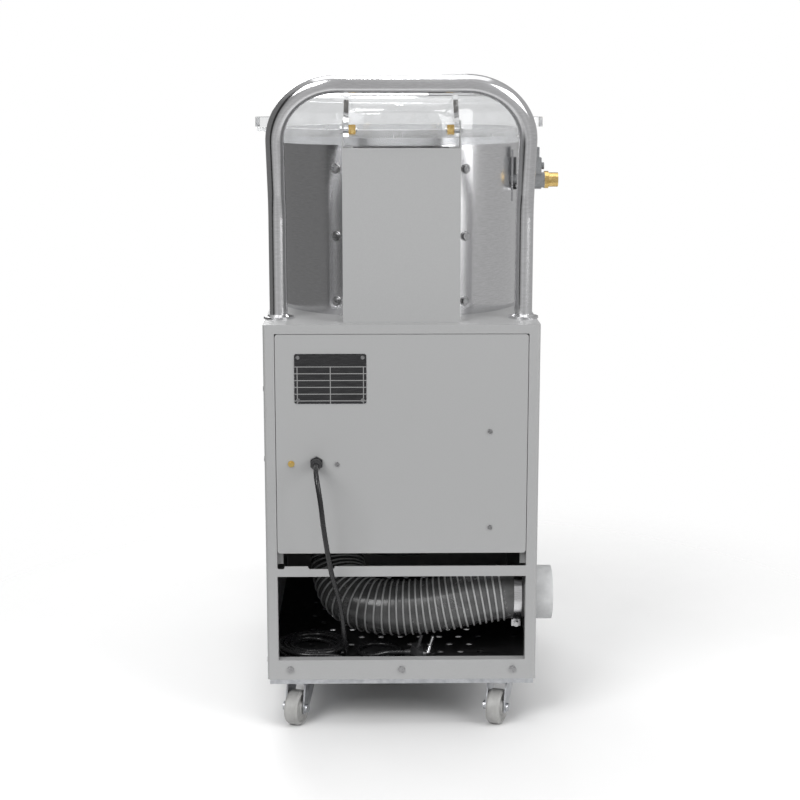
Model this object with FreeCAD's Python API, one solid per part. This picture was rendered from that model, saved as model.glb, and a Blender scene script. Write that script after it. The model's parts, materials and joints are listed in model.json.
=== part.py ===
import FreeCAD, Part
import math
import os

Vec = FreeCAD.Vector
up = Vec(0, 0, 1)
back = Vec(0, 1, 0)
right = Vec(1, 0, 0)

# Lengths are in millimetres. While a piece is made, x and y are counted from the drum's
# axis, y grows towards the back and z from the floor. save() then shifts every piece so
# that the origin is on the floor under the middle of the whole machine.

# Casters
caster_height = 68.0
wheel_radius = 25.0
wheel_width = 22.0
wheel_bore = 4.0
caster_trail = 20.0
caster_plate_size = 56.0
caster_plate_thickness = 2.5
caster_inset_x = 46.0
caster_inset_y = 42.0
caster_rear_yaw = 20.0
caster_front_yaw = -32.0
fork_gap = 1.2
fork_sheet = 2.5
fork_crown_drop = 3.5
fork_crown_radius = 21.0

# Cabinet
cabinet_width = 380.0
cabinet_depth = 500.0
cabinet_height = 508.0
cabinet_skirt_gap = 7.0
cabinet_corner = 4.0
drum_to_rear = 253.0
sheet = 1.5
beam_height = 28.6
opening_half = 174.5
opening_top_border = 12.3
lip_depth = 15.0
ledge_width = 8.0
crossbar_bottom_above_beam = 123.1
crossbar_height = 14.9
crossbar_fold = 22.0
notch_depth = 4.0
notch_radius = 3.0
narrow_notch = (164.1, 174.5)
wide_notch = (94.1, 131.2)
panel_gap = 0.8
panel_recess = 0.6
panel_above_crossbar = 18.9
panel_corner = 4.0
vent_slots = 6
vent_slot_length = 70.0
vent_slot_height = 5.0
vent_pitch = 16.0
vent_above_base = 300.0

# Base frame and floor tray
frame_inset = 3.0
frame_height = 20.0
frame_sheet = 2.0
rail_width = 78.0
tray_sheet = 1.5
tray_slot_length = 20.0
tray_slot_width = 3.0

# Drum
drum_radius = 177.7
drum_sheet = 1.5
drum_height = 249.0
collar_height = 21.0
collar_overlap = 10.0
collar_radius = 181.0
collar_inner_radius = 168.0
rim_bead = 2.5
liner_thickness = 3.0
liner_gap = 0.2
drum_floor_thickness = 3.0
door_sill = 68.0
door_opening_height = 140.0
door_opening_angle = 26.0
skin_gap = 0.5

# Disc and drive
disc_radius = 166.0
disc_thickness = 12.0
disc_lift = 34.0
disc_wave_height = 9.0
disc_wave_radius = 34.0
disc_waves = 3
shaft_radius = 12.5
shaft_bottom = 198.0
running_gap = 0.05
housing_radius = 35.0
housing_flange_radius = 56.0
housing_flange = 10.0
housing_bottom = 300.0
bearing_radius = 26.0
bearing_width = 15.0
pulley_bottom = 206.0
pulley_width = 24.0
large_pulley_radius = 80.0
motor_pulley_radius = 32.0
groove_depth = 9.0
belt_width = 12.0
belt_height = 8.0
belt_gap = 0.3
motor_distance = 150.0
motor_radius = 62.0
motor_length = 178.0
motor_shaft_radius = 9.5
motor_plate_bottom = 244.0
motor_plate_thickness = 4.0
motor_plate_depth = 172.0

# Drain
drain_x = 95.0
drain_y = 88.0
spout_radius = 35.9
spout_wall = 2.0
spout_bottom = 330.0
hose_bore = 36.5
hose_radius = 38.6
hose_rib_height = 2.4
hose_pitch = 10.0
hose_rib_share = 0.34
hose_plain_end = 30.0
hose_plain_start = 42.0
clamp_gap = 0.2
clamp_width = 11.0
clamp_inset = 14.0
outlet_radius = 38.5
outlet_wall = 3.0
outlet_neck_radius = 36.5
outlet_shadow_gap = 1.0
outlet_stub = 26.0
outlet_y = 191.0
outlet_z = 184.0
outlet_flange_radius = 48.0
outlet_flange = 3.0
outlet_spigot = 26.0
spigot_radius = 35.9

# Lid
lid_gap = 0.4
lid_radius = 181.5
lid_wall = 3.0
lid_side_height = 18.0
lid_shoulder = 30.0
lid_crown_radius = 556.0
lid_knob_height = 5.0
lid_knob_radius = 16.0
lid_tab_reach = 213.0
lid_tab_height = 14.0
lid_tab_width = 46.0
rib_outer = 78.7
rib_thickness = 6.7
pivot_y = 208.0
pivot_z_above_collar = 1.0
rib_pivot_radius = 10.0
hinge_screw_radius = 3.0
nut_width = 13.0
nut_thickness = 9.5

# Hinge box behind the drum
hinge_box_half = 80.5
hinge_box_rear = 230.0
hinge_box_sheet = 1.5
hinge_flange_angle = 34.0
hinge_flange_end_gap = 14.0
hinge_flange_top_gap = 5.0
hinge_ear_height = 37.0
hinge_ear_width = 34.0

# Push handle
handle_tube = 25.0
handle_wall = 1.5
handle_inset = 18.5
handle_leg_y = 184.0
handle_bend_z = 742.0
handle_bend_radius = 90.0
handle_rise = 164.0
handle_lean = 24.0
handle_corner = 85.0
handle_flange_radius = 21.0
handle_flange = 3.0

# Discharge side
chute_reach = 462.0
chute_width = 200.0
chute_tip_width = 176.0
chute_wall = 30.0
chute_sheet = 1.5
chute_slope = 12.0
chute_floor_at_drum = 612.0
door_thickness = 2.0
door_angle = 31.0
door_margin = 8.0
door_hinge_radius = 187.0
door_hinge_angle = 35.0
knuckle_radius = 5.0
knuckle_pin = 3.0
knuckle_length = 36.0
latch_spindle_radius = 5.0
tongue_length = 40.0
keeper_height = 17.0

# Controls on the front
control_width = 250.0
control_height = 92.0
control_plate = 2.0
control_z = 512.0
button_radius = 11.0
button_stand = 8.0
bezel_radius = 16.0
knob_radius = 20.0
knob_height = 18.0

# Water inlet
inlet_stub = 53.3
inlet_y = 53.0
inlet_z = 768.0
inlet_thread_radius = 10.4
inlet_thread_length = 14.0
inlet_nut_radius = 12.5
inlet_nut_length = 6.0

# Fixtures on the rear panel
plate_centre = (98.0, 508.6)
plate_size = (98.8, 69.3)
plate_thickness = 0.8
rivet_radius = 2.6
gland_x = 118.0
gland_z = 390.5
gland_reach = 20.0
gland_radius = 7.5
screw_radius = 3.0
screw_head = 1.8

# Power cord
cord_radius = 3.5
coil_centre = (128.0, 172.0)
coil_outer_radius = 48.0
coil_pitch = 8.0
coil_half_turns = 4

# Heights and places that follow from the sizes above
cabinet_bottom = caster_height + cabinet_skirt_gap
cabinet_top = cabinet_bottom + cabinet_height
rear_y = drum_to_rear
front_y = drum_to_rear - cabinet_depth
cabinet_half = cabinet_width / 2
beam_top = cabinet_bottom + beam_height
opening_top = cabinet_top - opening_top_border
crossbar_bottom = beam_top + crossbar_bottom_above_beam
crossbar_top = crossbar_bottom + crossbar_height
panel_bottom = crossbar_top + panel_above_crossbar
frame_top = caster_height + frame_height
tray_top = frame_top + tray_sheet
drum_top = cabinet_top + drum_height
collar_top = drum_top + collar_height - collar_overlap
lid_bottom = collar_top + lid_gap
lid_side_top = lid_bottom + lid_side_height
pivot_z = collar_top + pivot_z_above_collar
sill_z = cabinet_top + door_sill
disc_bottom = cabinet_top + disc_lift
disc_top = disc_bottom + disc_thickness
liner_radius = drum_radius - drum_sheet - liner_gap
swivel_x = cabinet_half - caster_inset_x
swivel_rear_y = rear_y - caster_inset_y
swivel_front_y = front_y + caster_inset_y
handle_leg_x = cabinet_half - handle_inset
handle_top_z = handle_bend_z + handle_rise
outlet_reach = cabinet_half + outlet_stub
inlet_reach = drum_radius + inlet_stub
handle_reach = handle_leg_y + handle_rise * math.tan(math.radians(handle_lean)) + handle_tube / 2
shift_x = (inlet_reach - lid_tab_reach) / 2
shift_y = (chute_reach - handle_reach) / 2


def save(name, shape):
    """Write one named piece, moved from the drum's axis to the machine's own origin."""
    placed = shape.copy()
    placed.translate(Vec(shift_x, shift_y, 0))
    placed.exportStep("parts/" + name + ".step")
    box = placed.BoundBox
    reach.append((name, box))
    if not placed.isValid():
        print("not valid:", name)


def block(x0, x1, y0, y1, z0, z1):
    return Part.makeBox(x1 - x0, y1 - y0, z1 - z0, Vec(x0, y0, z0))


def rod(radius, base, direction, length):
    return Part.makeCylinder(radius, length, base, direction)


def collar(outer, inner, base, direction, length):
    return rod(outer, base, direction, length).cut(rod(inner, base, direction, length))


def rounded_block(x0, x1, y0, y1, z0, z1, radius, axis):
    """A block whose edges along one axis are rounded."""
    solid = block(x0, x1, y0, y1, z0, z1)
    edges = []
    for edge in solid.Edges:
        if edge.tangentAt(edge.FirstParameter).cross(axis).Length < 0.001:
            edges.append(edge)
    return solid.makeFillet(radius, edges)


def turned(points):
    """A solid of revolution about the drum's axis from points of radius and height."""
    corners = [Vec(radius, 0, height) for radius, height in points]
    outline = Part.makePolygon(corners + [corners[0]])
    return Part.Face(outline).revolve(Vec(0, 0, 0), up, 360)


def prism(points, direction):
    outline = Part.makePolygon(points + [points[0]])
    return Part.Face(outline).extrude(direction)


def fused(solids):
    whole = solids[0]
    for solid in solids[1:]:
        whole = whole.fuse(solid)
    return whole.removeSplitter()


def group(solids):
    return Part.makeCompound(solids)


def around(radius, degrees, height):
    """A point at a radius from the drum's axis; 0 degrees is the front, 90 is +x."""
    angle = math.radians(degrees)
    return Vec(radius * math.sin(angle), -radius * math.cos(angle), height)


def outward(degrees):
    angle = math.radians(degrees)
    return Vec(math.sin(angle), -math.cos(angle), 0)


def wedge(radius, half_angle, middle, z0, z1):
    """A sector block of the drum, used to cut or keep a span of its wall."""
    points = [Vec(0, 0, z0)]
    steps = 4
    for step in range(steps + 1):
        degrees = middle - half_angle + 2 * half_angle * step / steps
        points.append(around(radius, degrees, z0))
    return prism(points, Vec(0, 0, z1 - z0))


def curved_plate(inner, outer, half_angle, middle, z0, z1):
    """A plate bent round the drum's axis, such as a door leaf."""
    wall = collar(outer, inner, Vec(0, 0, z0), up, z1 - z0)
    return wall.common(wedge(outer * 2, half_angle, middle, z0, z1))


# Cabinet and base

def make_cabinet_shell():
    outer = rounded_block(-cabinet_half, cabinet_half, front_y, rear_y, cabinet_bottom,
                          cabinet_top, cabinet_corner, up)
    inside = block(-cabinet_half + sheet, cabinet_half - sheet, front_y + sheet, rear_y - sheet,
                   cabinet_bottom - sheet, cabinet_top - sheet)
    shell = outer.cut(inside)
    opening = block(-opening_half, opening_half, rear_y - lip_depth - sheet, rear_y + sheet,
                    beam_top, opening_top)
    lip = block(-opening_half - sheet, opening_half + sheet, rear_y - lip_depth, rear_y - sheet,
                beam_top - sheet, opening_top + sheet)
    shell = shell.fuse(lip).cut(opening)
    ledge_front = rear_y - lip_depth
    ledge = block(-opening_half, opening_half, ledge_front, ledge_front + sheet,
                  crossbar_top, opening_top)
    ledge_hole = block(-opening_half + ledge_width, opening_half - ledge_width,
                       ledge_front - sheet, ledge_front + 2 * sheet, crossbar_top - sheet,
                       opening_top - ledge_width)
    shell = shell.fuse(ledge.cut(ledge_hole))
    window_half = control_width / 2 - 14
    window = block(-window_half, window_half, front_y - sheet, front_y + 2 * sheet,
                   control_z - control_height / 2 + 12, control_z + control_height / 2 - 12)
    neck_hole = rod(housing_radius + 1, Vec(0, 0, cabinet_top - 2 * sheet), up, 3 * sheet)
    drain_hole = rod(spout_radius + 1, Vec(drain_x, drain_y, cabinet_top - 2 * sheet), up,
                     3 * sheet)
    outlet_hole = rod(outlet_neck_radius + skin_gap, Vec(-cabinet_half - sheet, outlet_y, outlet_z),
                      right, 3 * sheet)
    shell = shell.cut(group([window, neck_hole, drain_hole, outlet_hole]))
    slots = []
    for row in range(vent_slots):
        z0 = cabinet_bottom + vent_above_base + row * vent_pitch
        slots.append(block(-cabinet_half - sheet, cabinet_half + sheet,
                           -motor_distance - vent_slot_length / 2,
                           -motor_distance + vent_slot_length / 2, z0, z0 + vent_slot_height))
    return shell.cut(group(slots))


def make_rear_panel():
    half = opening_half - panel_gap
    top = opening_top - panel_gap
    face = rear_y - panel_recess
    seat = rear_y - lip_depth + sheet
    pan = rounded_block(-half, half, seat, face, panel_bottom, top, panel_corner, back)
    hollow = block(-half + sheet, half - sheet, seat - sheet, face - sheet,
                   panel_bottom + sheet, top - sheet)
    return pan.cut(hollow)


def make_rear_crossbar():
    bar = block(-opening_half, opening_half, rear_y - sheet, rear_y, crossbar_bottom,
                crossbar_top)
    fold = block(-opening_half, opening_half, rear_y - crossbar_fold, rear_y - sheet,
                 crossbar_bottom, crossbar_bottom + sheet)
    for low, high in (narrow_notch, wide_notch):
        bar = bar.cut(rounded_block(low, high, rear_y - 2 * sheet, rear_y + sheet,
                                    crossbar_top - notch_depth,
                                    crossbar_top + 2 * notch_radius, notch_radius, back))
    return fused([bar, fold])


def make_base_frame():
    """Two folded side rails joined by end channels; the casters bolt under the rails."""
    half = cabinet_half - frame_inset
    y0 = front_y + sheet
    y1 = rear_y - sheet
    pieces = [block(-half, half, y1 - frame_sheet, y1, caster_height, frame_top)]
    pieces.append(block(-half, half, y0, y0 + frame_sheet, caster_height, frame_top))
    for side in (-1, 1):
        web = sorted((side * half, side * (half - frame_sheet)))
        flange = sorted((side * half, side * (half - rail_width)))
        pieces.append(block(web[0], web[1], y0, y1, caster_height, frame_top))
        pieces.append(block(flange[0], flange[1], y0, y1, caster_height,
                            caster_height + frame_sheet))
    return fused(pieces)


def make_base_tray():
    half = cabinet_half - frame_inset
    tray = block(-half, half, front_y + sheet, rear_y - sheet, frame_top, tray_top)
    slots = []
    for side in (-1, 1):
        for row in range(4):
            x0 = side * (half - tray_slot_length / 2 - 2) - tray_slot_length / 2
            y0 = rear_y - 145 - 115 * (row - 1)
            if y0 < rear_y - 20:
                slots.append(block(x0, x0 + tray_slot_length, y0, y0 + tray_slot_width,
                                   frame_top - 1, tray_top + 1))
    return tray.cut(group(slots))


# Drum, lining and what turns in it

def make_drum_shell():
    inner = drum_radius - drum_sheet
    wall = turned([(inner, cabinet_top), (drum_radius, cabinet_top), (drum_radius, drum_top),
                   (inner - rim_bead, drum_top), (inner - rim_bead, drum_top - sheet),
                   (inner, drum_top - sheet)])
    opening = wedge(drum_radius * 2, door_opening_angle, 0, sill_z,
                    sill_z + door_opening_height)
    inlet = rod(spray_radius + skin_gap, Vec(-drum_radius, inlet_y, inlet_z), right, 40)
    return wall.cut(opening).cut(inlet)


def make_drum_collar():
    """Translucent ring over the drum's rim, the seat of the lid."""
    ring = turned([(drum_radius + liner_gap, drum_top - collar_overlap),
                   (collar_radius, drum_top - collar_overlap), (collar_radius, collar_top),
                   (collar_inner_radius, collar_top), (collar_inner_radius, drum_top),
                   (drum_radius + liner_gap, drum_top)])
    boss = rod(6.0, Vec(0, collar_radius - 3, drum_top - collar_overlap), up,
               collar_top - drum_top + collar_overlap)
    keep = rod(collar_inner_radius + 2, Vec(0, 0, drum_top - collar_height), up, 3 * collar_height)
    sleeve = rod(drum_radius + liner_gap, Vec(0, 0, drum_top - collar_height), up, collar_height)
    boss = boss.cut(keep).cut(sleeve)
    root = collar_radius - 2
    tip = lid_tab_reach - 3
    lug_top = collar_top - 1
    lug = prism([Vec(root, -18, lug_top), Vec(tip, -12, lug_top), Vec(tip, 12, lug_top),
                 Vec(root, 18, lug_top)], Vec(0, 0, -5))
    web = prism([Vec(root, -3, lug_top - 1), Vec(tip - 3, -3, lug_top - 1),
                 Vec(root, -3, drum_top - collar_overlap + 1)], Vec(0, 6, 0))
    return fused([ring, boss, lug, web])


def make_abrasive_liner():
    z0 = disc_top + 4
    z1 = drum_top - 8
    wall = collar(liner_radius, liner_radius - liner_thickness, Vec(0, 0, z0), up, z1 - z0)
    opening = wedge(drum_radius * 2, door_opening_angle, 0, sill_z - 20,
                    sill_z + door_opening_height)
    inlet = rod(spray_radius + skin_gap, Vec(-drum_radius, inlet_y, inlet_z), right, 40)
    return wall.cut(opening).cut(inlet)


def make_drum_floor():
    """Drum bottom with its drain spout and the raised neck round the shaft."""
    plate = rod(drum_radius - drum_sheet - liner_gap, Vec(0, 0, cabinet_top), up,
                drum_floor_thickness)
    spout = rod(spout_radius, Vec(drain_x, drain_y, spout_bottom), up, cabinet_top - spout_bottom)
    neck = rod(24, Vec(0, 0, cabinet_top), up, disc_lift - 8)
    whole = fused([plate, spout, neck])
    bore = rod(spout_radius - spout_wall, Vec(drain_x, drain_y, spout_bottom - 1), up,
               cabinet_top - spout_bottom + 10)
    shaft_hole = rod(shaft_radius + 2.5, Vec(0, 0, cabinet_top - 1), up, disc_lift)
    return whole.cut(group([bore, shaft_hole]))


def make_shaft_seal():
    return collar(shaft_radius + 2.5, shaft_radius + running_gap,
                  Vec(0, 0, cabinet_top + disc_lift - 18), up, 8)


def make_abrasive_disc():
    """Cast disc with rounded waves on top, an under-hub and two sweeping paddles."""
    rim = 4.0
    body = turned([(0, disc_bottom), (disc_radius - rim, disc_bottom),
                   (disc_radius, disc_bottom + rim),
                   (disc_radius, disc_top - rim / 2), (disc_radius - rim / 2, disc_top),
                   (disc_radius - 22, disc_top), (disc_radius - 40, disc_top - 3),
                   (40, disc_top - 3), (26, disc_top + 3), (0, disc_top + 3)])
    waves = []
    centre_z = disc_top - 3 + disc_wave_height - disc_wave_radius
    for wave in range(disc_waves):
        degrees = 90 + 360 * wave / disc_waves
        start = around(26, degrees, centre_z)
        bar = rod(disc_wave_radius, start, outward(degrees), disc_radius - 34)
        keep = rod(disc_radius - 6, Vec(0, 0, disc_top - 6), up, disc_wave_height + 12)
        waves.append(bar.common(keep))
    hub = rod(28, Vec(0, 0, disc_bottom - 7.5), up, 9)
    paddles = []
    for side in (-1, 1):
        span = sorted((side * 60, side * (disc_radius - 8)))
        paddles.append(block(span[0], span[1], -3, 3, disc_bottom - 24, disc_bottom + 1))
    solid = fused([body] + waves + [hub] + paddles)
    socket = rod(shaft_radius - 2.5, Vec(0, 0, disc_bottom - 10), up, 60)
    return solid.cut(socket)


def make_main_shaft():
    """Vertical shaft, stepped at the top where the disc sits on its shoulder."""
    shoulder = disc_bottom - 7.5
    lower = rod(shaft_radius, Vec(0, 0, shaft_bottom), up, shoulder - shaft_bottom)
    spigot = rod(shaft_radius - 2.5, Vec(0, 0, shoulder), up, disc_top + 3 - shoulder)
    return lower.fuse(spigot).removeSplitter()


def make_disc_cap():
    """Domed nut that holds the disc down."""
    base = disc_top + 3
    return turned([(0, base), (22, base), (22, base + 6), (15, base + 14), (6, base + 17),
                   (0, base + 17)])


def make_bearing_housing():
    top = cabinet_top - sheet
    flange = rod(housing_flange_radius, Vec(0, 0, top - housing_flange), up, housing_flange)
    body = rod(housing_radius, Vec(0, 0, housing_bottom), up, top - housing_bottom)
    clear = rod(shaft_radius + 6, Vec(0, 0, housing_bottom - 1), up, top - housing_bottom + 2)
    lower_seat = rod(bearing_radius, Vec(0, 0, housing_bottom - 1), up, bearing_width + 1)
    upper_seat = rod(bearing_radius, Vec(0, 0, top - bearing_width), up, bearing_width + 1)
    return flange.fuse(body).removeSplitter().cut(group([clear, lower_seat, upper_seat]))


def make_shaft_bearings():
    top = cabinet_top - sheet - bearing_width
    return group([collar(bearing_radius, shaft_radius + running_gap, Vec(0, 0, z), up, bearing_width)
                  for z in (housing_bottom, top)])


def pulley(radius, bore):
    """Pulley with one belt groove, made standing on the drum's axis."""
    z0 = pulley_bottom
    z1 = pulley_bottom + pulley_width
    lip = (pulley_width - belt_width) / 2 - belt_gap - 2
    floor = radius - groove_depth
    return turned([(bore, z0), (radius, z0), (radius, z0 + lip), (floor, z0 + lip + 2),
                   (floor, z1 - lip - 2), (radius, z1 - lip), (radius, z1), (bore, z1)])


def make_large_pulley():
    wheel = pulley(large_pulley_radius, shaft_radius)
    recess = collar(large_pulley_radius - 20, 26, Vec(0, 0, pulley_bottom - 1), up, 8)
    return wheel.cut(recess)


def make_motor_pulley():
    wheel = pulley(motor_pulley_radius, motor_shaft_radius)
    wheel.translate(Vec(0, -motor_distance, 0))
    return wheel


def make_motor_shaft():
    return rod(motor_shaft_radius, Vec(0, -motor_distance, pulley_bottom - 4), up,
               motor_plate_bottom + 60 - pulley_bottom)


def make_drive_belt():
    """Closed belt round both pulleys, seated in their grooves."""
    z0 = pulley_bottom + (pulley_width - belt_width) / 2
    inner_big = large_pulley_radius - groove_depth + belt_gap
    inner_small = motor_pulley_radius - groove_depth + belt_gap

    def loop(big, small):
        lean = math.asin((big - small) / motor_distance)
        side = Vec(math.cos(lean), -math.sin(lean), 0)
        other = Vec(-side.x, side.y, 0)
        big_centre = Vec(0, 0, z0)
        small_centre = Vec(0, -motor_distance, z0)
        a = big_centre + side * big
        b = big_centre + other * big
        c = small_centre + other * small
        d = small_centre + side * small
        edges = [Part.Arc(a, big_centre + Vec(0, big, 0), b).toShape(),
                 Part.LineSegment(b, c).toShape(),
                 Part.Arc(c, small_centre - Vec(0, small, 0), d).toShape(),
                 Part.LineSegment(d, a).toShape()]
        return Part.Face(Part.Wire(edges)).extrude(Vec(0, 0, belt_width))

    return loop(inner_big + belt_height, inner_small + belt_height).cut(loop(inner_big, inner_small))


def make_motor():
    base = motor_plate_bottom + motor_plate_thickness
    cowl = base + motor_length - 44
    centre = Vec(0, -motor_distance, 0)
    profile = turned([(0, base), (motor_radius, base), (motor_radius, base + 12),
                      (motor_radius - 6, base + 12), (motor_radius - 6, cowl),
                      (motor_radius - 2, cowl), (motor_radius - 2, cowl + 30),
                      (motor_radius - 20, base + motor_length), (0, base + motor_length)])
    profile.translate(centre)
    box = block(motor_radius - 14, motor_radius + 24, -motor_distance - 26, -motor_distance + 26,
                base + 40, base + 96)
    ribs = []
    for rib in range(12):
        angle = 360 * rib / 12 + 15
        fin = block(motor_radius - 10, motor_radius - 1, -1.5, 1.5, base + 12, cowl)
        fin.rotate(Vec(0, 0, 0), up, angle)
        fin.translate(centre)
        ribs.append(fin)
    bore = rod(motor_shaft_radius + running_gap, Vec(0, -motor_distance, base - 1), up, 62)
    return fused([profile, box] + ribs).cut(bore)


def make_motor_plate():
    half = cabinet_half - sheet
    y0 = front_y + sheet
    plate = block(-half, half, y0, y0 + motor_plate_depth, motor_plate_bottom,
                  motor_plate_bottom + motor_plate_thickness)
    hole = rod(motor_shaft_radius + 6, Vec(0, -motor_distance, motor_plate_bottom - 1), up,
               motor_plate_thickness + 2)
    stiffener = block(-half, half, y0 + motor_plate_depth - frame_sheet, y0 + motor_plate_depth,
                      motor_plate_bottom + motor_plate_thickness, motor_plate_bottom + 24)
    return fused([plate, stiffener]).cut(hole)


def make_control_box():
    """Closed box behind the rear panel that holds the contactor."""
    face = rear_y - panel_recess - sheet
    return rounded_block(-150, -92, face - 62, face, 292, 440, 4, back)


# Drain hose and outlet

def hose_centreline():
    """Centre of the hose from the outlet to the drain spout, sagging on its way."""
    inner_end = -cabinet_half + sheet + outlet_flange
    points = [Vec(inner_end, outlet_y, outlet_z), Vec(inner_end + 13, outlet_y, outlet_z),
              Vec(inner_end + 26, outlet_y, outlet_z), Vec(inner_end + 38, outlet_y, outlet_z - 0.6),
              Vec(-112, outlet_y, 178),
              Vec(-70, outlet_y, 168), Vec(-22, outlet_y - 3, 160), Vec(28, outlet_y - 7, 158),
              Vec(62, outlet_y - 20, 162), Vec(84, outlet_y - 44, 172), Vec(93, outlet_y - 74, 197),
              Vec(drain_x, drain_y + 8, 238), Vec(drain_x, drain_y, 288),
              Vec(drain_x, drain_y, spout_bottom), Vec(drain_x, drain_y, spout_bottom + 15),
              Vec(drain_x, drain_y, spout_bottom + hose_plain_end)]
    curve = Part.BSplineCurve()
    curve.interpolate(points, InitialTangent=Vec(1, 0, 0), FinalTangent=Vec(0, 0, 1))
    return curve


def ring_on(curve, distance, radius, length):
    """A circle square to the centreline at a distance along it, on a steady X axis."""
    parameter = curve.parameterAtDistance(min(max(distance, 0), length), curve.FirstParameter)
    centre = curve.value(parameter)
    forward = Vec(*curve.tangent(parameter)[0])
    steady = Vec(0, -1, 0) - forward * forward.dot(Vec(0, -1, 0))
    steady.normalize()
    turn = FreeCAD.Rotation(steady, forward.cross(steady), forward, "ZXY")
    circle = Part.Circle(Vec(0, 0, 0), up, radius).toShape()
    circle.Placement = FreeCAD.Placement(centre, turn)
    return Part.Wire([circle])


def make_drain_hose():
    """Ribbed hose with its bore; every rib is four circles of a ruled loft."""
    curve = hose_centreline()
    length = curve.length()
    rib_end = hose_radius + hose_rib_height
    start = hose_plain_start
    rings = [ring_on(curve, start * share / 3, hose_radius, length) for share in (0, 1, 2)]
    count = int((length - start - hose_plain_end) / hose_pitch)
    for rib in range(count):
        at = start + rib * hose_pitch
        rise = hose_pitch * hose_rib_share / 2
        rings.append(ring_on(curve, at, hose_radius, length))
        rings.append(ring_on(curve, at + rise, rib_end, length))
        rings.append(ring_on(curve, at + 2 * rise, rib_end, length))
        rings.append(ring_on(curve, at + 3 * rise, hose_radius, length))
    rings.append(ring_on(curve, length, hose_radius, length))
    skin = Part.makeLoft(rings, True, True)
    bore_rings = []
    steps = 22
    for step in range(steps + 1):
        bore_rings.append(ring_on(curve, length * step / steps, hose_bore, length))
    bore = Part.makeLoft(bore_rings, True, True)
    hose = skin.cut(bore)
    print("hose length", round(length), "ribs", count, "volume", round(hose.Volume))
    return hose


def make_outlet_pipe():
    wall_inner = -cabinet_half + sheet
    stub = rod(outlet_radius, Vec(-outlet_reach, outlet_y, outlet_z), right,
               outlet_stub - outlet_shadow_gap)
    neck = rod(outlet_neck_radius, Vec(-cabinet_half - outlet_shadow_gap, outlet_y, outlet_z), right,
               outlet_shadow_gap + sheet)
    flange = rod(outlet_flange_radius, Vec(wall_inner, outlet_y, outlet_z), right, outlet_flange)
    spigot = rod(spigot_radius, Vec(wall_inner, outlet_y, outlet_z), right,
                 outlet_flange + outlet_spigot)
    bore = rod(outlet_radius - 2 * outlet_wall, Vec(-outlet_reach - 1, outlet_y, outlet_z), right,
               outlet_reach + 100)
    mouth = rod(outlet_radius - outlet_wall, Vec(-outlet_reach - 1, outlet_y, outlet_z), right,
                outlet_stub - outlet_shadow_gap - 2)
    return fused([stub, neck, flange, spigot]).cut(group([bore, mouth]))


def make_hose_clamps():
    """Worm-drive bands, one at each end of the hose, with screw housings."""
    band = clamp_width
    outer = hose_radius + 1.0
    x0 = -cabinet_half + sheet + outlet_flange + clamp_inset
    first = collar(outer, hose_radius + clamp_gap, Vec(x0, outlet_y, outlet_z), right, band)
    worm = block(x0 - 1, x0 + band + 1, outlet_y - 9, outlet_y + 9, outlet_z - outer - 9,
                 outlet_z - outer + 0.6)
    screw = rod(3.5, Vec(x0 + band / 2, outlet_y - 15, outlet_z - 5 - outer), back, 30)
    z0 = spout_bottom + 8
    second = collar(outer, hose_radius + clamp_gap, Vec(drain_x, drain_y, z0), up, band)
    return group([fused([first, worm, screw]), second])


# Hinge box, handle and lid

def make_hinge_box():
    half = hinge_box_half
    rear = hinge_box_rear
    top = drum_top - collar_overlap - 2
    z0 = cabinet_top
    outer = block(-half, half, 120, rear, z0, top)
    inside = block(-half + hinge_box_sheet, half - hinge_box_sheet, 100, rear - hinge_box_sheet,
                   z0 - 1, top - hinge_box_sheet)
    cover = outer.cut(inside)
    mouth = block(-half + 14, half - 14, 100, rear - 16, top - 5, top + 1)
    cover = cover.cut(mouth)
    cover = cover.cut(rod(drum_radius, Vec(0, 0, z0 - 1), up, top - z0 + 2))
    pieces = [cover]
    for side in (-1, 1):
        inner_angle = math.degrees(math.asin(half / drum_radius))
        middle = 180 - side * (inner_angle + hinge_flange_angle) / 2
        spread = (hinge_flange_angle - inner_angle) / 2 + 0.3
        pieces.append(curved_plate(drum_radius, drum_radius + hinge_box_sheet, spread, middle,
                                   z0 + hinge_flange_end_gap, top - hinge_flange_top_gap))
        ear_x = sorted((side * half, side * (half - hinge_box_sheet)))
        ear = rounded_block(ear_x[0], ear_x[1], rear - hinge_ear_width, rear - 1, top - 20,
                            top + hinge_ear_height, 8, right)
        ear_hole = rod(hinge_screw_radius + running_gap, Vec(ear_x[0] - 1, pivot_y, pivot_z), right, 4)
        pieces.append(ear.cut(ear_hole))
    return fused(pieces)


def make_hinge_box_screws():
    heads = []
    for side in (-1, 1):
        for z in (603.0, 695.0, 789.0):
            base = around(drum_radius + hinge_box_sheet, 180 - side * 30.4, z)
            direction = outward(180 - side * 30.4)
            heads.append(rod(7.0, base, direction, 1.2).fuse(rod(5.0, base, direction, 4.2)))
    return group(heads)


def make_hinge_screws():
    solids = []
    for side in (-1, 1):
        start = hinge_box_half
        inner = rib_outer - rib_thickness - nut_thickness - 2
        screw = rod(hinge_screw_radius, Vec(inner, pivot_y, pivot_z), right, start - inner)
        head = rod(5.5, Vec(start, pivot_y, pivot_z), right, 3)
        solid = screw.fuse(head).removeSplitter()
        if side < 0:
            solid = solid.mirror(Vec(0, 0, 0), right)
        solids.append(solid)
    return group(solids)


def make_hinge_nuts():
    solids = []
    for side in (-1, 1):
        outer = rib_outer - rib_thickness - 0.3
        half = nut_width / 2
        nut = block(outer - nut_thickness, outer, pivot_y - half, pivot_y + half, pivot_z - half,
                    pivot_z + half)
        nut.rotate(Vec(0, pivot_y, pivot_z), right, 8)
        nut = nut.cut(rod(hinge_screw_radius, Vec(outer - 20, pivot_y, pivot_z), right, 30))
        if side < 0:
            nut = nut.mirror(Vec(0, 0, 0), right)
        solids.append(nut)
    return group(solids)


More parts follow.
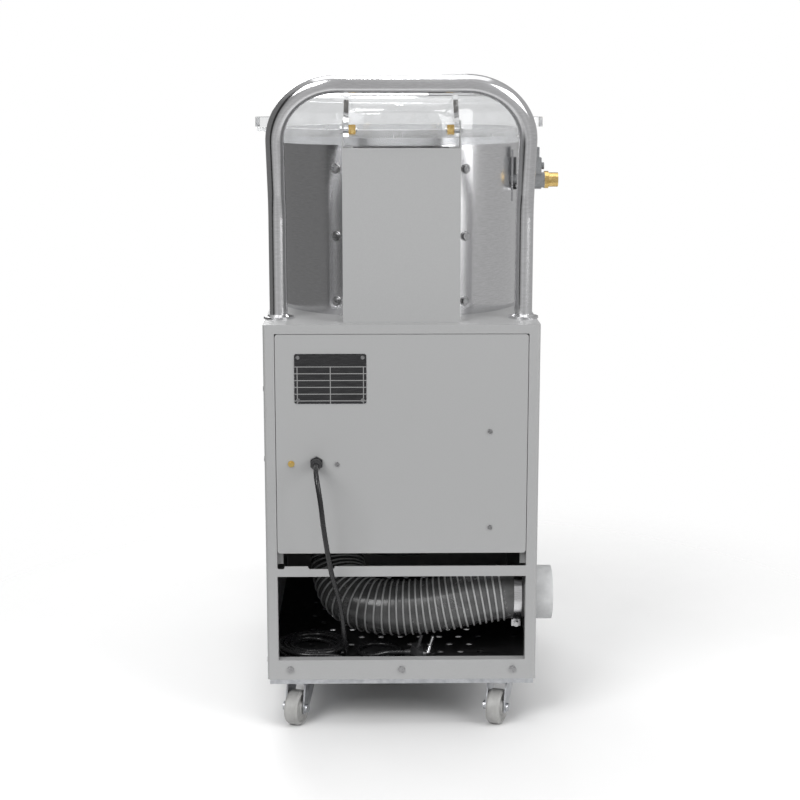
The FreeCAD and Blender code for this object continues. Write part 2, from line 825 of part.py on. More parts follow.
def handle_path():
    """Centre of the handle's tube from foot to foot."""
    lean = math.radians(handle_lean)
    tilt = Vec(0, math.sin(lean), math.cos(lean))
    foot = Vec(handle_leg_x, handle_leg_y, cabinet_top)
    knee = Vec(handle_leg_x, handle_leg_y, handle_bend_z)
    rise = (handle_top_z - handle_bend_z) / math.cos(lean)
    top = knee + tilt * rise
    return [foot, knee, top, Vec(-top.x, top.y, top.z), Vec(-knee.x, knee.y, knee.z),
            Vec(-foot.x, foot.y, foot.z)]


def rounded_path(points, radii):
    """Straight runs joined by tangent arcs of the given radii."""
    edges = []
    last = points[0]
    for index in range(1, len(points) - 1):
        corner = points[index]
        into = (corner - points[index - 1]).normalize()
        out = (points[index + 1] - corner).normalize()
        turn = into.getAngle(out)
        radius = radii[index - 1]
        cut_back = radius * math.tan(turn / 2)
        a = corner - into * cut_back
        b = corner + out * cut_back
        bisector = (out - into).normalize()
        centre = corner + bisector * (radius / math.cos(turn / 2))
        middle = centre - bisector * radius
        if (a - last).Length > 0.001:
            edges.append(Part.LineSegment(last, a).toShape())
        edges.append(Part.Arc(a, middle, b).toShape())
        last = b
    edges.append(Part.LineSegment(last, points[-1]).toShape())
    return Part.Wire(edges)


def swept(path, radius, start, direction):
    section = Part.Wire([Part.Circle(start, direction, radius).toShape()])
    return path.makePipeShell([section], True, False)


def make_push_handle():
    points = handle_path()
    radii = [handle_bend_radius, handle_corner, handle_corner, handle_bend_radius]
    path = rounded_path(points, radii)
    pieces = []
    for edge in path.Edges:
        start = edge.valueAt(edge.FirstParameter)
        ahead = edge.tangentAt(edge.FirstParameter)
        ring = Part.Face([Part.Wire([Part.Circle(start, ahead, handle_tube / 2).toShape()]),
                          Part.Wire([Part.Circle(start, ahead, handle_tube / 2 - handle_wall).toShape()])])
        ring.validate()
        if hasattr(edge.Curve, "Radius"):
            turn = math.degrees(edge.Length / edge.Curve.Radius)
            pieces.append(ring.revolve(edge.Curve.Center, edge.Curve.Axis, turn))
        else:
            pieces.append(ring.extrude(ahead * edge.Length))
    return fused(pieces)


def make_handle_flanges():
    solids = []
    for side in (-1, 1):
        base = Vec(side * handle_leg_x, handle_leg_y, cabinet_top)
        disc = rod(handle_flange_radius, base, up, handle_flange)
        welt = Part.makeCone(handle_tube / 2 + 4, handle_tube / 2 + 1, 3,
                             base + up * handle_flange, up)
        solids.append(disc.fuse(welt).cut(rod(handle_tube / 2, base, up, 20)))
    return group(solids)


def lid_outline(radius, shoulder, crown, bottom, side_top):
    """Half section of the lid's outer or inner form, from the rim to the crown."""
    centre = Vec(radius - shoulder, 0, side_top)
    reach_in = crown - shoulder
    rise = math.sqrt(reach_in ** 2 - centre.x ** 2)
    crown_centre = Vec(0, 0, side_top - rise)
    toward = (centre - crown_centre).normalize()
    meet = crown_centre + toward * crown
    half_way = (toward + right).normalize()
    top = crown_centre + up * crown
    crown_middle = crown_centre + ((toward + up).normalize()) * crown
    edges = [Part.LineSegment(Vec(radius, 0, bottom), Vec(radius, 0, side_top)).toShape(),
             Part.Arc(Vec(radius, 0, side_top), centre + half_way * shoulder, meet).toShape(),
             Part.Arc(meet, crown_middle, top).toShape(),
             Part.LineSegment(top, Vec(0, 0, bottom)).toShape(),
             Part.LineSegment(Vec(0, 0, bottom), Vec(radius, 0, bottom)).toShape()]
    return Part.Face(Part.Wire(edges)).revolve(Vec(0, 0, 0), up, 360), top.z


def make_lid():
    """Clear one-piece lid: dome, hinge ribs at the back and a lifting tab each side."""
    outer, top = lid_outline(lid_radius, lid_shoulder, lid_crown_radius, lid_bottom, lid_side_top)
    inner, inner_top = lid_outline(lid_radius - lid_wall, lid_shoulder - lid_wall,
                                   lid_crown_radius - lid_wall, lid_bottom - 1, lid_side_top)
    solids = [outer]
    for side in (-1, 1):
        x0 = rib_outer - rib_thickness
        start = Vec(x0, pivot_y, pivot_z)
        pivot = rod(rib_pivot_radius, start, right, rib_thickness)
        gusset = prism([Vec(x0, pivot_y + 6, pivot_z + 8), Vec(x0, 158, lid_side_top + 30),
                        Vec(x0, 120, lid_side_top + 20), Vec(x0, 120, lid_bottom + 1),
                        Vec(x0, pivot_y - 4, pivot_z - 9.1), Vec(x0, pivot_y + 9, pivot_z - 3)],
                       Vec(rib_thickness, 0, 0))
        rib = pivot.fuse(gusset).removeSplitter()
        rib = rib.cut(block(0, 200, 0, lid_radius + 1, lid_bottom - 20, lid_bottom))
        rib = rib.cut(rod(hinge_screw_radius + running_gap, start - right, right, rib_thickness + 2))
        tab = tab_solid()
        if side < 0:
            rib = rib.mirror(Vec(0, 0, 0), right)
            tab = tab.mirror(Vec(0, 0, 0), right)
        solids.append(rib)
        solids.append(tab)
    knob_top = top + lid_knob_height
    knob = turned([(0, top - 4), (lid_knob_radius, top - 4), (lid_knob_radius - 2, knob_top - 2),
                   (lid_knob_radius - 5, knob_top), (0, knob_top)])
    solids.append(knob)
    whole = fused(solids)
    return whole.cut(inner)


def tab_solid():
    """Rounded lifting tab on the lid's rim."""
    z0 = lid_bottom
    tip = lid_tab_reach
    half = lid_tab_width / 2
    edges = [Part.LineSegment(Vec(165, -half, z0), Vec(tip - 22, -half, z0)).toShape(),
             Part.Arc(Vec(tip - 22, -half, z0), Vec(tip, 0, z0), Vec(tip - 22, half, z0)).toShape(),
             Part.LineSegment(Vec(tip - 22, half, z0), Vec(165, half, z0)).toShape(),
             Part.LineSegment(Vec(165, half, z0), Vec(165, -half, z0)).toShape()]
    return Part.Face(Part.Wire(edges)).extrude(Vec(0, 0, lid_tab_height))


# Discharge chute and its door

def make_discharge_chute():
    """Sloping trough that starts at the drum wall and hangs over the cabinet's front."""
    slope = math.tan(math.radians(chute_slope))
    start = -sqrt_part(drum_radius + skin_gap, chute_width / 2)
    tip = -chute_reach
    drop = slope * (start - tip)
    z0 = chute_floor_at_drum
    half = chute_width / 2
    tip_half = chute_tip_width / 2

    def trough(inset, lift, wall, extra):
        a = [Vec(-half + inset, start + 40 + extra, z0 + lift + 40 * slope),
             Vec(half - inset, start + 40 + extra, z0 + lift + 40 * slope),
             Vec(half - inset, start + 40 + extra, z0 + lift + wall + 40 * slope),
             Vec(-half + inset, start + 40 + extra, z0 + lift + wall + 40 * slope)]
        b = [Vec(-tip_half + inset, tip - extra, z0 + lift - drop),
             Vec(tip_half - inset, tip - extra, z0 + lift - drop),
             Vec(tip_half - inset, tip - extra, z0 + lift + wall - drop),
             Vec(-tip_half + inset, tip - extra, z0 + lift + wall - drop)]
        return Part.makeLoft([Part.makePolygon(a + [a[0]]), Part.makePolygon(b + [b[0]])], True, True)

    solid = trough(0, 0, chute_wall, 0).cut(trough(chute_sheet, chute_sheet, chute_wall + 20, 1))
    solid = solid.cut(rod(drum_radius, Vec(0, 0, z0 - 60), up, 160))
    return solid


def sqrt_part(radius, x):
    return math.sqrt(radius ** 2 - x ** 2)


def make_chute_bracket():
    """Folded bracket that carries the chute on the cabinet's top."""
    y0 = front_y + 6
    slope = math.tan(math.radians(chute_slope))
    start = -sqrt_part(drum_radius + skin_gap, chute_width / 2)
    under = chute_floor_at_drum - slope * (start - (y0 + 18))
    foot = block(-60, 60, y0, y0 + 26, cabinet_top, cabinet_top + 2)
    post_top = under - 0.02
    post = prism([Vec(-60, y0 + 18, cabinet_top), Vec(60, y0 + 18, cabinet_top),
                  Vec(60, y0 + 18, post_top), Vec(-60, y0 + 18, post_top)], Vec(0, 2, 0))
    return fused([foot, post])


def door_axis():
    return around(door_hinge_radius, -door_hinge_angle, sill_z - door_margin)


def make_discharge_door():
    """Curved door leaf with its hinge strap, knuckle and pull."""
    inner = drum_radius + skin_gap
    z0 = sill_z - door_margin
    z1 = sill_z + door_opening_height + door_margin
    leaf = curved_plate(inner, inner + door_thickness, door_angle, 0, z0, z1)
    axis = door_axis()
    mid = (z0 + z1) / 2
    z_low = mid - knuckle_length / 2
    strap = curved_plate(inner + door_thickness - 0.2, inner + door_thickness + 2.5, 7,
                         -door_angle + 4.6, z_low, z_low + knuckle_length)
    knuckle = rod(knuckle_radius, Vec(axis.x, axis.y, z_low), up, knuckle_length)
    link_start = around(inner + door_thickness + 1.2, -door_angle + 0.5, z_low)
    toward = Vec(axis.x - link_start.x, axis.y - link_start.y, 0)
    side = Vec(-toward.y, toward.x, 0).normalize() * 1.25
    link = prism([link_start + side, link_start - side, link_start + toward - side,
                  link_start + toward + side], Vec(0, 0, knuckle_length))
    pull_base = around(inner + door_thickness, 0, mid)
    stems = [rod(4.0, around(inner + door_thickness - 0.5, 0, mid + dz), outward(0), 30)
             for dz in (-38, 38)]
    grip = rod(5.5, Vec(0, pull_base.y - 30, mid - 48), up, 96)
    boss_angle = door_angle - 6
    boss = rod(11, around(inner + 1, boss_angle, mid), outward(boss_angle), 6)
    spindle_hole = rod(latch_spindle_radius + running_gap, around(inner - 3, boss_angle, mid),
                       outward(boss_angle), 30)
    whole = fused([leaf, strap, knuckle, link] + stems + [grip, boss])
    pin_hole = rod(knuckle_pin + running_gap, Vec(axis.x, axis.y, z_low - 1), up,
                   knuckle_length + 2)
    return whole.cut(group([pin_hole, spindle_hole]))


def make_door_hinge():
    """Drum-side leaf with two knuckles and the pin between them."""
    inner = drum_radius
    z0 = sill_z - door_margin
    z1 = sill_z + door_opening_height + door_margin
    mid = (z0 + z1) / 2
    axis = door_axis()
    length = 22.0
    solids = []
    for low in (mid - knuckle_length / 2 - 0.3 - length, mid + knuckle_length / 2 + 0.3):
        solids.append(rod(knuckle_radius, Vec(axis.x, axis.y, low), up, length))
        start = around(inner + 1.2, -door_hinge_angle - 2.5, low)
        toward = Vec(axis.x - start.x, axis.y - start.y, 0)
        side = Vec(-toward.y, toward.x, 0).normalize() * 1.25
        solids.append(prism([start + side, start - side, start + toward - side,
                             start + toward + side], Vec(0, 0, length)))
        solids.append(curved_plate(inner, inner + 2.4, 4.5, -door_hinge_angle - 6, low, low + length))
    pin = rod(knuckle_pin, Vec(axis.x, axis.y, mid - knuckle_length / 2 - length), up,
              knuckle_length + 2 * length)
    return fused(solids + [pin])


def make_door_latch():
    """Turning latch: lever and tongue on one spindle, parked upright at rest."""
    inner = drum_radius + skin_gap
    mid = sill_z + door_opening_height / 2
    angle = door_angle - 6
    start = around(inner + 0.5, angle, mid)
    direction = outward(angle)
    spindle = rod(latch_spindle_radius, start, direction, 18)
    hub = rod(9, start + direction * 7.0, direction, 5)
    lever_place = start + direction * 9.5
    across = Vec(direction.y, -direction.x, 0)
    points = [lever_place - across * 5, lever_place + across * 5,
              lever_place + across * 4 + up * 58, lever_place - across * 4 + up * 58]
    lever = prism(points, direction * 2.5)
    ball = Part.makeSphere(8, lever_place + direction * 6 + up * 60)
    tongue_points = [lever_place - across * 5, lever_place + across * 5,
                     lever_place + across * 5 - up * tongue_length,
                     lever_place - across * 5 - up * tongue_length]
    tongue = prism(tongue_points, direction * -2.2)
    return fused([spindle, hub, lever, ball, tongue])


def make_latch_keeper():
    """Hook beside the door, open below, that the tongue turns under."""
    angle = door_angle + 4.6
    mid = sill_z + door_opening_height / 2
    direction = outward(angle)
    across = Vec(direction.y, -direction.x, 0)
    centre = around(drum_radius, angle, mid)
    leg = slab(centre + up * 12.0, direction, across, 7, 2.0, keeper_height + 2)
    hood = slab(centre + direction * keeper_height, direction, across, 7, 14.0, 2.0)
    return fused([leg, hood])


def slab(base, direction, across, half_across, half_up, height):
    """A small block standing on a point, along a direction."""
    points = [base - across * half_across - up * half_up, base + across * half_across - up * half_up,
              base + across * half_across + up * half_up, base - across * half_across + up * half_up]
    sunk = [point - direction * 0.6 for point in points]
    return prism(sunk, direction * (height + 0.6)).cut(rod(drum_radius, Vec(0, 0, base.z - 60), up, 120))


# Control panel

control_face = front_y - control_plate
start_x = -70.0
stop_x = -22.0
lamp_x = -100.0
knob_x = 58.0


def make_control_panel():
    half = control_width / 2
    z0 = control_z - control_height / 2
    plate = rounded_block(-half, half, control_face, front_y, z0, z0 + control_height, 6, back)
    holes = []
    for x in (start_x, stop_x):
        holes.append(rod(button_radius + 0.3, Vec(x, control_face - 10, control_z), back, 40))
    holes.append(rod(5.0 + running_gap, Vec(knob_x, control_face - 10, control_z), back, 40))
    for x in (start_x, stop_x):
        bezel = rod(bezel_radius, Vec(x, control_face - 3, control_z), back, 3)
        plate = plate.fuse(bezel)
    return plate.cut(group(holes))


def make_button(x):
    top = control_face - 3 - button_stand + 2
    cap = rod(button_radius, Vec(x, top, control_z), back, button_stand + 14)
    return cap


def make_timer_knob():
    base = control_face - 0.5
    skirt = rod(knob_radius, Vec(knob_x, base - 5, control_z), back, 5)
    grip = rounded_block(knob_x - 6, knob_x + 6, base - knob_height, base - 4,
                         control_z - knob_radius + 2, control_z + knob_radius - 2, 3, back)
    stem = rod(5.0, Vec(knob_x, base - 2, control_z), back, 18)
    return fused([skirt, grip, stem])


def make_timer_body():
    """Clockwork timer behind the panel, with the bore that the knob's stem turns in."""
    y0 = front_y
    body = block(knob_x - 24, knob_x + 24, y0 + 0.02, y0 + 40, control_z - 24, control_z + 24)
    return body.cut(rod(5.0 + running_gap, Vec(knob_x, y0 - 1, control_z), back, 20))


def make_switch_blocks():
    """Contact blocks behind the two buttons."""
    solids = []
    for x in (start_x, stop_x):
        start = front_y + 0.02
        body = block(x - 15, x + 15, start, start + 42, control_z - 15, control_z + 15)
        well = rod(button_radius + 0.3, Vec(x, start - 1, control_z), back, 24)
        solids.append(body.cut(well))
    return group(solids)


def make_power_lamp():
    return rod(5.0, Vec(lamp_x, control_face - 4, control_z), back, 4)


# Water inlet

spray_radius = 7.0


def make_inlet_valve():
    """Brass inlet with its outside thread and hexagon, screwed into the valve body."""
    thread = rod(inlet_thread_radius, Vec(-inlet_reach, inlet_y, inlet_z), right,
                 inlet_thread_length)
    nut = rod(inlet_nut_radius, Vec(-inlet_reach + inlet_thread_length, inlet_y, inlet_z), right,
              inlet_nut_length)
    bore = rod(6.5, Vec(-inlet_reach - 1, inlet_y, inlet_z), right, 20)
    return thread.fuse(nut).removeSplitter().cut(bore)


def make_inlet_coil():
    """Valve body and nipple through the drum wall, with the coil, its connector and cap."""
    outer = -inlet_reach + inlet_thread_length + inlet_nut_length
    inner = -drum_radius - 3
    body = rounded_block(outer, inner, inlet_y - 12, inlet_y + 12, inlet_z - 11, inlet_z + 10, 2,
                         right)
    nipple = rod(spray_radius, Vec(inner - 1, inlet_y, inlet_z), right, 30)
    coil = rounded_block(outer + 5, inner, inlet_y - 14, inlet_y + 14, inlet_z + 9, inlet_z + 32,
                         2, up)
    plug = block(outer + 8, outer + 15, inlet_y - 9, inlet_y + 9, inlet_z + 32, inlet_z + 47)
    cap = rod(5.0, Vec(outer + 0.5, inlet_y, inlet_z + 20), right, 6)
    return fused([body, nipple, coil, plug, cap])


def make_inlet_bracket():
    """Folded strap that ties the valve to the drum."""
    plate = curved_plate(drum_radius, drum_radius + 1.5, 7.5, -106, inlet_z - 30, inlet_z + 44)
    arm = block(-181, -172, inlet_y - 13, inlet_y + 13, inlet_z - 14, inlet_z - 12.2)
    lip = block(-206, -172, inlet_y - 13, inlet_y + 13, inlet_z - 13, inlet_z - 11.02)
    whole = fused([plate, arm, lip])
    whole = whole.cut(rod(drum_radius, Vec(0, 0, inlet_z - 40), up, 100))
    return whole.cut(rod(spray_radius + skin_gap, Vec(-184, inlet_y, inlet_z), right, 40))


# Fixtures on the rear panel and cabinet

def panel_face():
    return rear_y - panel_recess


def make_nameplate():
    """Polished plate, bare apart from its rounded corners."""
    x, z = plate_centre
    width, height = plate_size
    return rounded_block(x - width / 2, x + width / 2, panel_face(), panel_face() + plate_thickness,
                         z - height / 2, z + height / 2, 3, back)


def make_nameplate_rivets():
    x, z = plate_centre
    width, height = plate_size
    heads = []
    for side in (-1, 1):
        for level in (-1, 1):
            heads.append(rod(rivet_radius, Vec(x + side * (width / 2 - 5), panel_face() + plate_thickness,
                                               z + level * (height / 2 - 5)), back, 1.0))
    return group(heads)


def make_rear_panel_screws():
    places = ((89.5, 388.5), (-122.0, 434.6), (-123.0, 297.6))
    return group([rod(screw_radius, Vec(x, panel_face(), z), back, screw_head) for x, z in places])


def make_earth_screw():
    washer = rod(4.6, Vec(153, panel_face(), 389), back, 0.8)
    head = rod(3.0, Vec(153, panel_face() + 0.8, 389), back, 2.4)
    return washer.fuse(head)


def make_base_screws():
    return group([rod(4.5, Vec(x, rear_y, 90.0), back, 2.4) for x in (-157.5, 0.0, 157.5)])


def make_side_screws():
    heads = []
    for side in (-1, 1):
        for y, z in ((rear_y - 30, 490.0), (rear_y - 30, 390.0), (rear_y - 30, 95.0),
                     (front_y + 30, 490.0), (front_y + 30, 95.0)):
            heads.append(rod(4.0, Vec(side * cabinet_half, y, z), right * side, 2.2))
    return group(heads)


def make_cable_gland():
    """Hexagonal gland with a domed nut, gripping the cord."""
    face = panel_face()
    points = []
    for corner in range(6):
        angle = math.radians(60 * corner + 30)
        points.append(Vec(gland_x + 9.5 * math.cos(angle), face, gland_z + 9.5 * math.sin(angle)))
    flange = prism(points, Vec(0, 6, 0))
    nut = rod(gland_radius, Vec(gland_x, face + 6, gland_z), back, 8)
    dome = Part.makeCone(gland_radius, cord_radius + 1.2, gland_reach - 14,
                         Vec(gland_x, face + 14, gland_z), back)
    return fused([flange, nut, dome])


# Power cord

def cord_route():
    """Centre points of the hanging run, from the gland to the coil."""
    gland_end = panel_face() + gland_reach
    start_of_coil = tray_top + cord_radius
    return [Vec(gland_x, gland_end, gland_z), Vec(gland_x, 293.0, gland_z), Vec(115.5, 309.0, 377.0),
            Vec(111.0, 313.0, 350.0), Vec(107.5, 306.0, 312.0), Vec(102.0, 292.0, 268.0),
            Vec(96.5, 274.0, 230.0), Vec(89.0, 256.0, 198.0), Vec(84.0, 243.0, 164.0),
            Vec(82.0, 233.0, 135.0), Vec(80.5, 218.0, 109.0), Vec(80.0, 198.0, start_of_coil),
            Vec(coil_centre[0] - coil_outer_radius, coil_centre[1] + 2 * cord_radius, start_of_coil)]


def tail_route():
    """Centre points from the coil to the plug, with one loose loop on the tray."""
    low = tray_top + cord_radius
    return [Vec(117.0, 224.0, low + coil_pitch), Vec(97.0, 224.0, low + coil_pitch),
            Vec(77.0, 230.0, low + 2.0), Vec(56.0, 233.0, low), Vec(34.0, 230.0, low), Vec(15.0, 219.5, low),
            Vec(3.0, 202.0, low), Vec(1.0, 182.0, low), Vec(10.0, 163.0, low),
            Vec(28.0, 152.0, low), Vec(48.0, 154.0, low), Vec(62.0, 168.0, low),
            Vec(64.0, 187.0, low), Vec(54.0, 203.0, low), Vec(37.0, 211.5, low + 3.0),
            Vec(22.0, 214.5, low + 8.0), Vec(9.0, 215.0, low + 8.5), Vec(-5.0, 215.0, low + 8.5)]


def route_radii(points):
    radii = []
    for index in range(1, len(points) - 1):
        into = points[index] - points[index - 1]
        out = points[index + 1] - points[index]
        turn = into.getAngle(out)
        radii.append(0.45 * min(into.Length, out.Length) / math.tan(turn / 2))
    return radii


def cord_tube(name, points):
    radii = route_radii(points)
    path = rounded_path(points, radii)
    tube = swept(path, cord_radius, points[0], (points[1] - points[0]).normalize())
    expected = math.pi * cord_radius ** 2 * path.Length
    print(name, "length", round(path.Length), "radii", [round(r) for r in radii],
          "volume ratio", round(tube.Volume / expected, 4))
    return tube


def half_turn(start, heading, radius, turn_sign):
    """A flat half turn from a point; returns the arc, its end and the new heading."""
    side = Vec(-heading.y, heading.x, 0) * turn_sign
    centre = start + side * radius
    middle = centre + heading * radius
    end = start + side * (2 * radius)
    return Part.Arc(start, middle, end).toShape(), end, heading * -1


def climbing_turn(start, heading, radius, turn_sign, rise):
    """A half turn that climbs a layer, as two arcs that meet halfway up."""
    side = Vec(-heading.y, heading.x, 0) * turn_sign
    end = start + side * (2 * radius) + up * rise
    chord = end - start
    reach_out = chord.Length / 2
    q1 = start + heading * reach_out
    q2 = end + heading * reach_out
    middle = (q1 + q2) * 0.5
    first = arc_through(start, q1, middle)
    second = arc_through(middle, q2, end)
    return [first, second], end, heading * -1


def arc_through(a, corner, b):
    """The arc from a to b that is tangent to the legs of their corner."""
    into = (corner - a).normalize()
    out = (b - corner).normalize()
    turn = into.getAngle(out)
    radius = (corner - a).Length / math.tan(turn / 2)
    bisector = (out - into).normalize()
    centre = corner + bisector * (radius / math.cos(turn / 2))
    return Part.Arc(a, centre - bisector * radius, b).toShape()


def make_cord_coil():
    """Loose coil in two layers: it spirals in, climbs half a turn and spirals out."""
    x, y = coil_centre
    start = Vec(x - coil_outer_radius, y, tray_top + cord_radius)
    heading = Vec(0, -1, 0)
    lead = start - heading * (2 * cord_radius)
    edges = [Part.LineSegment(lead, start).toShape()]
    point = start
    radius = coil_outer_radius
    turn_sign = 1
    for turn in range(coil_half_turns):
        edge, point, heading = half_turn(point, heading, radius, turn_sign)
        edges.append(edge)
        radius -= coil_pitch / 2
    climb, point, heading = climbing_turn(point, heading, radius, turn_sign, coil_pitch)
    edges += climb
    for turn in range(coil_half_turns):
        radius += coil_pitch / 2
        edge, point, heading = half_turn(point, heading, radius, turn_sign)
        edges.append(edge)
    side = Vec(-heading.y, heading.x, 0) * turn_sign
    radius += coil_pitch / 2
    centre = point + side * radius
    end = centre + heading * radius
    middle = centre + (heading - side).normalize() * radius
    edges.append(Part.Arc(point, middle, end).toShape())
    heading = side
    edges.append(Part.LineSegment(end, end + heading * (2 * cord_radius)).toShape())
    path = Part.Wire(edges)
    coil = swept(path, cord_radius, lead, Vec(0, -1, 0))
    least = least_gap(edges)
    print("coil length", round(path.Length), "least gap", round(least, 2), "end",
          [round(c, 2) for c in (end + heading * (2 * cord_radius))], "volume ratio",
          round(coil.Volume / (math.pi * cord_radius ** 2 * path.Length), 4))
    return coil


def least_gap(edges):
    """Smallest clear distance between turns, measured on points along the coil."""
    samples = []
    travelled = 0
    for edge in edges:
        steps = max(2, int(edge.Length / 4))
        for step in range(steps):
            place = edge.getParameterByLength(edge.Length * step / steps)
            samples.append((travelled + edge.Length * step / steps, edge.valueAt(place)))
        travelled += edge.Length
    least = 1000
    for i, (along, a) in enumerate(samples):
        for other, b in samples[i + 1:]:
            if other - along > 8 * cord_radius:
                least = min(least, (a - b).Length - 2 * cord_radius)
    return least


plug_radius = 18.0
plug_thickness = 15.0
plug_tilt = 16.0
pin_radius = 2.4
pin_length = 19.0
pin_spacing = 19.0


def make_power_plug():
    """Round two-pin angled plug lying on its back, pins up, with its side cord entry."""
    low = tray_top + cord_radius
    body = turned([(0, 0), (plug_radius - 3, 0), (plug_radius, 5), (plug_radius, plug_thickness),
                   (0, plug_thickness)])
    pins = [rod(pin_radius, Vec(side * pin_spacing / 2, 0, plug_thickness - 1), up, pin_length + 1)
            for side in (-1, 1)]
    solid = fused([body] + pins)
    solid.rotate(Vec(0, 0, 0), up, 25)
    solid.rotate(Vec(0, 0, 0), back, -plug_tilt)
    lowest = solid.BoundBox.ZMin
    solid.translate(Vec(-28.0, 215.0, tray_top - lowest + 0.02))
    entry_end = Vec(-5.0, 215.0, low + 8.5)
    entry = Part.makeCone(cord_radius + 0.6, cord_radius + 2.4, 14, entry_end, Vec(-1, 0, 0))
    return fused([solid, entry])


# Casters

def caster_places():
    return {"rear_left": (swivel_x, swivel_rear_y, caster_rear_yaw),
            "rear_right": (-swivel_x, swivel_rear_y, caster_rear_yaw),
            "front_left": (swivel_x, swivel_front_y, caster_front_yaw),
            "front_right": (-swivel_x, swivel_front_y, caster_rear_yaw)}


def make_caster_plates():
    plates = []
    half = caster_plate_size / 2
    z1 = caster_height
    z0 = z1 - caster_plate_thickness
    for x, y, yaw in caster_places().values():
        plate = rounded_block(x - half, x + half, y - half, y + half, z0, z1, 5, up)
        pin = rod(5.0, Vec(x, y, z0 - fork_crown_drop - fork_sheet - 1.5), up, fork_crown_drop + fork_sheet + 2)
        race = rod(15.0, Vec(x, y, z0 - fork_crown_drop + 0.4), up, fork_crown_drop)
        plates.append(fused([plate, pin, race]))
    return group(plates)


def place_caster(shape, place):
    x, y, yaw = place
    moved = shape.copy()
    moved.rotate(Vec(0, 0, 0), up, -yaw)
    moved.translate(Vec(x, y, 0))
    return moved


def fork_shape():
    """Stamped swivel fork: crown disc, two cheeks and the axle bolt across them."""
    crown_top = caster_height - caster_plate_thickness - fork_crown_drop
    crown = rod(fork_crown_radius, Vec(0, 0, crown_top - fork_sheet), up, fork_sheet)
    half = wheel_width / 2 + fork_gap
    solids = [crown]
    for side in (-1, 1):
        x = side * half if side > 0 else -half - fork_sheet
        cheek = prism([Vec(x, -15, crown_top - fork_sheet), Vec(x, 20, crown_top - fork_sheet),
                       Vec(x, caster_trail + 8, wheel_radius + 4), Vec(x, caster_trail + 7, wheel_radius - 7),
                       Vec(x, caster_trail - 7, wheel_radius - 7), Vec(x, -9, crown_top - 16)],
                      Vec(fork_sheet, 0, 0))
        solids.append(cheek)
    bolt_start = -half - fork_sheet - 3
    solids.append(rod(wheel_bore - running_gap, Vec(bolt_start, caster_trail, wheel_radius), right,
                      2 * (half + fork_sheet) + 6))
    solids.append(rod(6.5, Vec(half + fork_sheet, caster_trail, wheel_radius), right, 4.5))
    solids.append(rod(6.0, Vec(bolt_start, caster_trail, wheel_radius), right, 3))
    whole = fused(solids)
    return whole.cut(rod(5.0 + running_gap, Vec(0, 0, crown_top - 2 * fork_sheet), up, 3 * fork_sheet))


def wheel_shape():
    """Wheel with a rounded tread and recessed hub faces."""
    half = wheel_width / 2
    points = [(wheel_bore, -half), (10, -half), (12, -half + 3), (19, -half + 3), (21, -half + 1),
              (wheel_radius - 2, -half + 1), (wheel_radius, -half + 4), (wheel_radius, half - 4),
              (wheel_radius - 2, half - 1), (21, half - 1), (19, half - 3), (12, half - 3),
              (10, half), (wheel_bore, half)]
    wheel = turned(points)
    wheel.rotate(Vec(0, 0, 0), back, 90)
    wheel.translate(Vec(0, caster_trail, wheel_radius))
    return wheel


def main():
    save("cabinet_shell", make_cabinet_shell())
    save("rear_panel", make_rear_panel())
    save("rear_crossbar", make_rear_crossbar())
    save("base_frame", make_base_frame())
    save("base_tray", make_base_tray())
    save("drum_shell", make_drum_shell())
    save("drum_collar", make_drum_collar())
    save("abrasive_liner", make_abrasive_liner())
    save("drum_floor", make_drum_floor())
    save("abrasive_disc", make_abrasive_disc())
    save("main_shaft", make_main_shaft())
    save("disc_cap", make_disc_cap())
    save("bearing_housing", make_bearing_housing())
    save("bearings_and_seal", group([make_shaft_bearings(), make_shaft_seal()]))
    save("large_pulley", make_large_pulley())
    save("motor_pulley", make_motor_pulley())
    save("motor_shaft", make_motor_shaft())
    save("drive_belt", make_drive_belt())
    save("motor", make_motor())
    save("motor_plate", make_motor_plate())
    save("control_box", make_control_box())
    save("drain_hose", make_drain_hose())
    save("outlet_pipe", make_outlet_pipe())
    save("hose_clamps", make_hose_clamps())
    save("hinge_box", make_hinge_box())
    save("hinge_screws", make_hinge_screws())
    save("hinge_nuts", make_hinge_nuts())
    save("push_handle", make_push_handle())
    save("handle_flanges", make_handle_flanges())
    save("lid", make_lid())
    save("discharge_chute", make_discharge_chute())
    save("chute_bracket", make_chute_bracket())
    save("discharge_door", make_discharge_door())
    save("door_fittings", group([make_door_hinge(), make_latch_keeper()]))
    save("door_latch", make_door_latch())
    save("control_panel", make_control_panel())
    save("start_button", make_button(start_x))
    save("stop_button", make_button(stop_x))
    save("timer_knob", make_timer_knob())
    save("control_internals", group([make_timer_body(), make_switch_blocks()]))
    save("power_lamp", make_power_lamp())
    save("inlet_valve", make_inlet_valve())
    save("inlet_coil", make_inlet_coil())
    save("inlet_bracket", make_inlet_bracket())
    save("nameplate", make_nameplate())
    save("fixings", group([make_nameplate_rivets(), make_rear_panel_screws(), make_base_screws(),
                           make_side_screws(), make_hinge_box_screws()]))
    save("cable_gland_and_earth", group([make_cable_gland(), make_earth_screw()]))
    save("power_cord", cord_tube("power cord", cord_route()))
    save("cord_coil", make_cord_coil())
    save("cord_tail", cord_tube("cord tail", tail_route()))
    save("power_plug", make_power_plug())
    save("caster_plates", make_caster_plates())
    fork = fork_shape()
    wheel = wheel_shape()
    for name, place in caster_places().items():
        save("caster_fork_" + name, place_caster(fork, place))
        save("caster_wheel_" + name, place_caster(wheel, place))
    low = [min(getattr(box, side) for name, box in reach) for side in ("XMin", "YMin", "ZMin")]
    high = [max(getattr(box, side) for name, box in reach) for side in ("XMax", "YMax", "ZMax")]
    print("pieces", len(reach), "box", [round(v, 2) for v in low], [round(v, 2) for v in high])


reach = []
os.makedirs("parts", exist_ok=True)
main()
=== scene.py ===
import json
import math

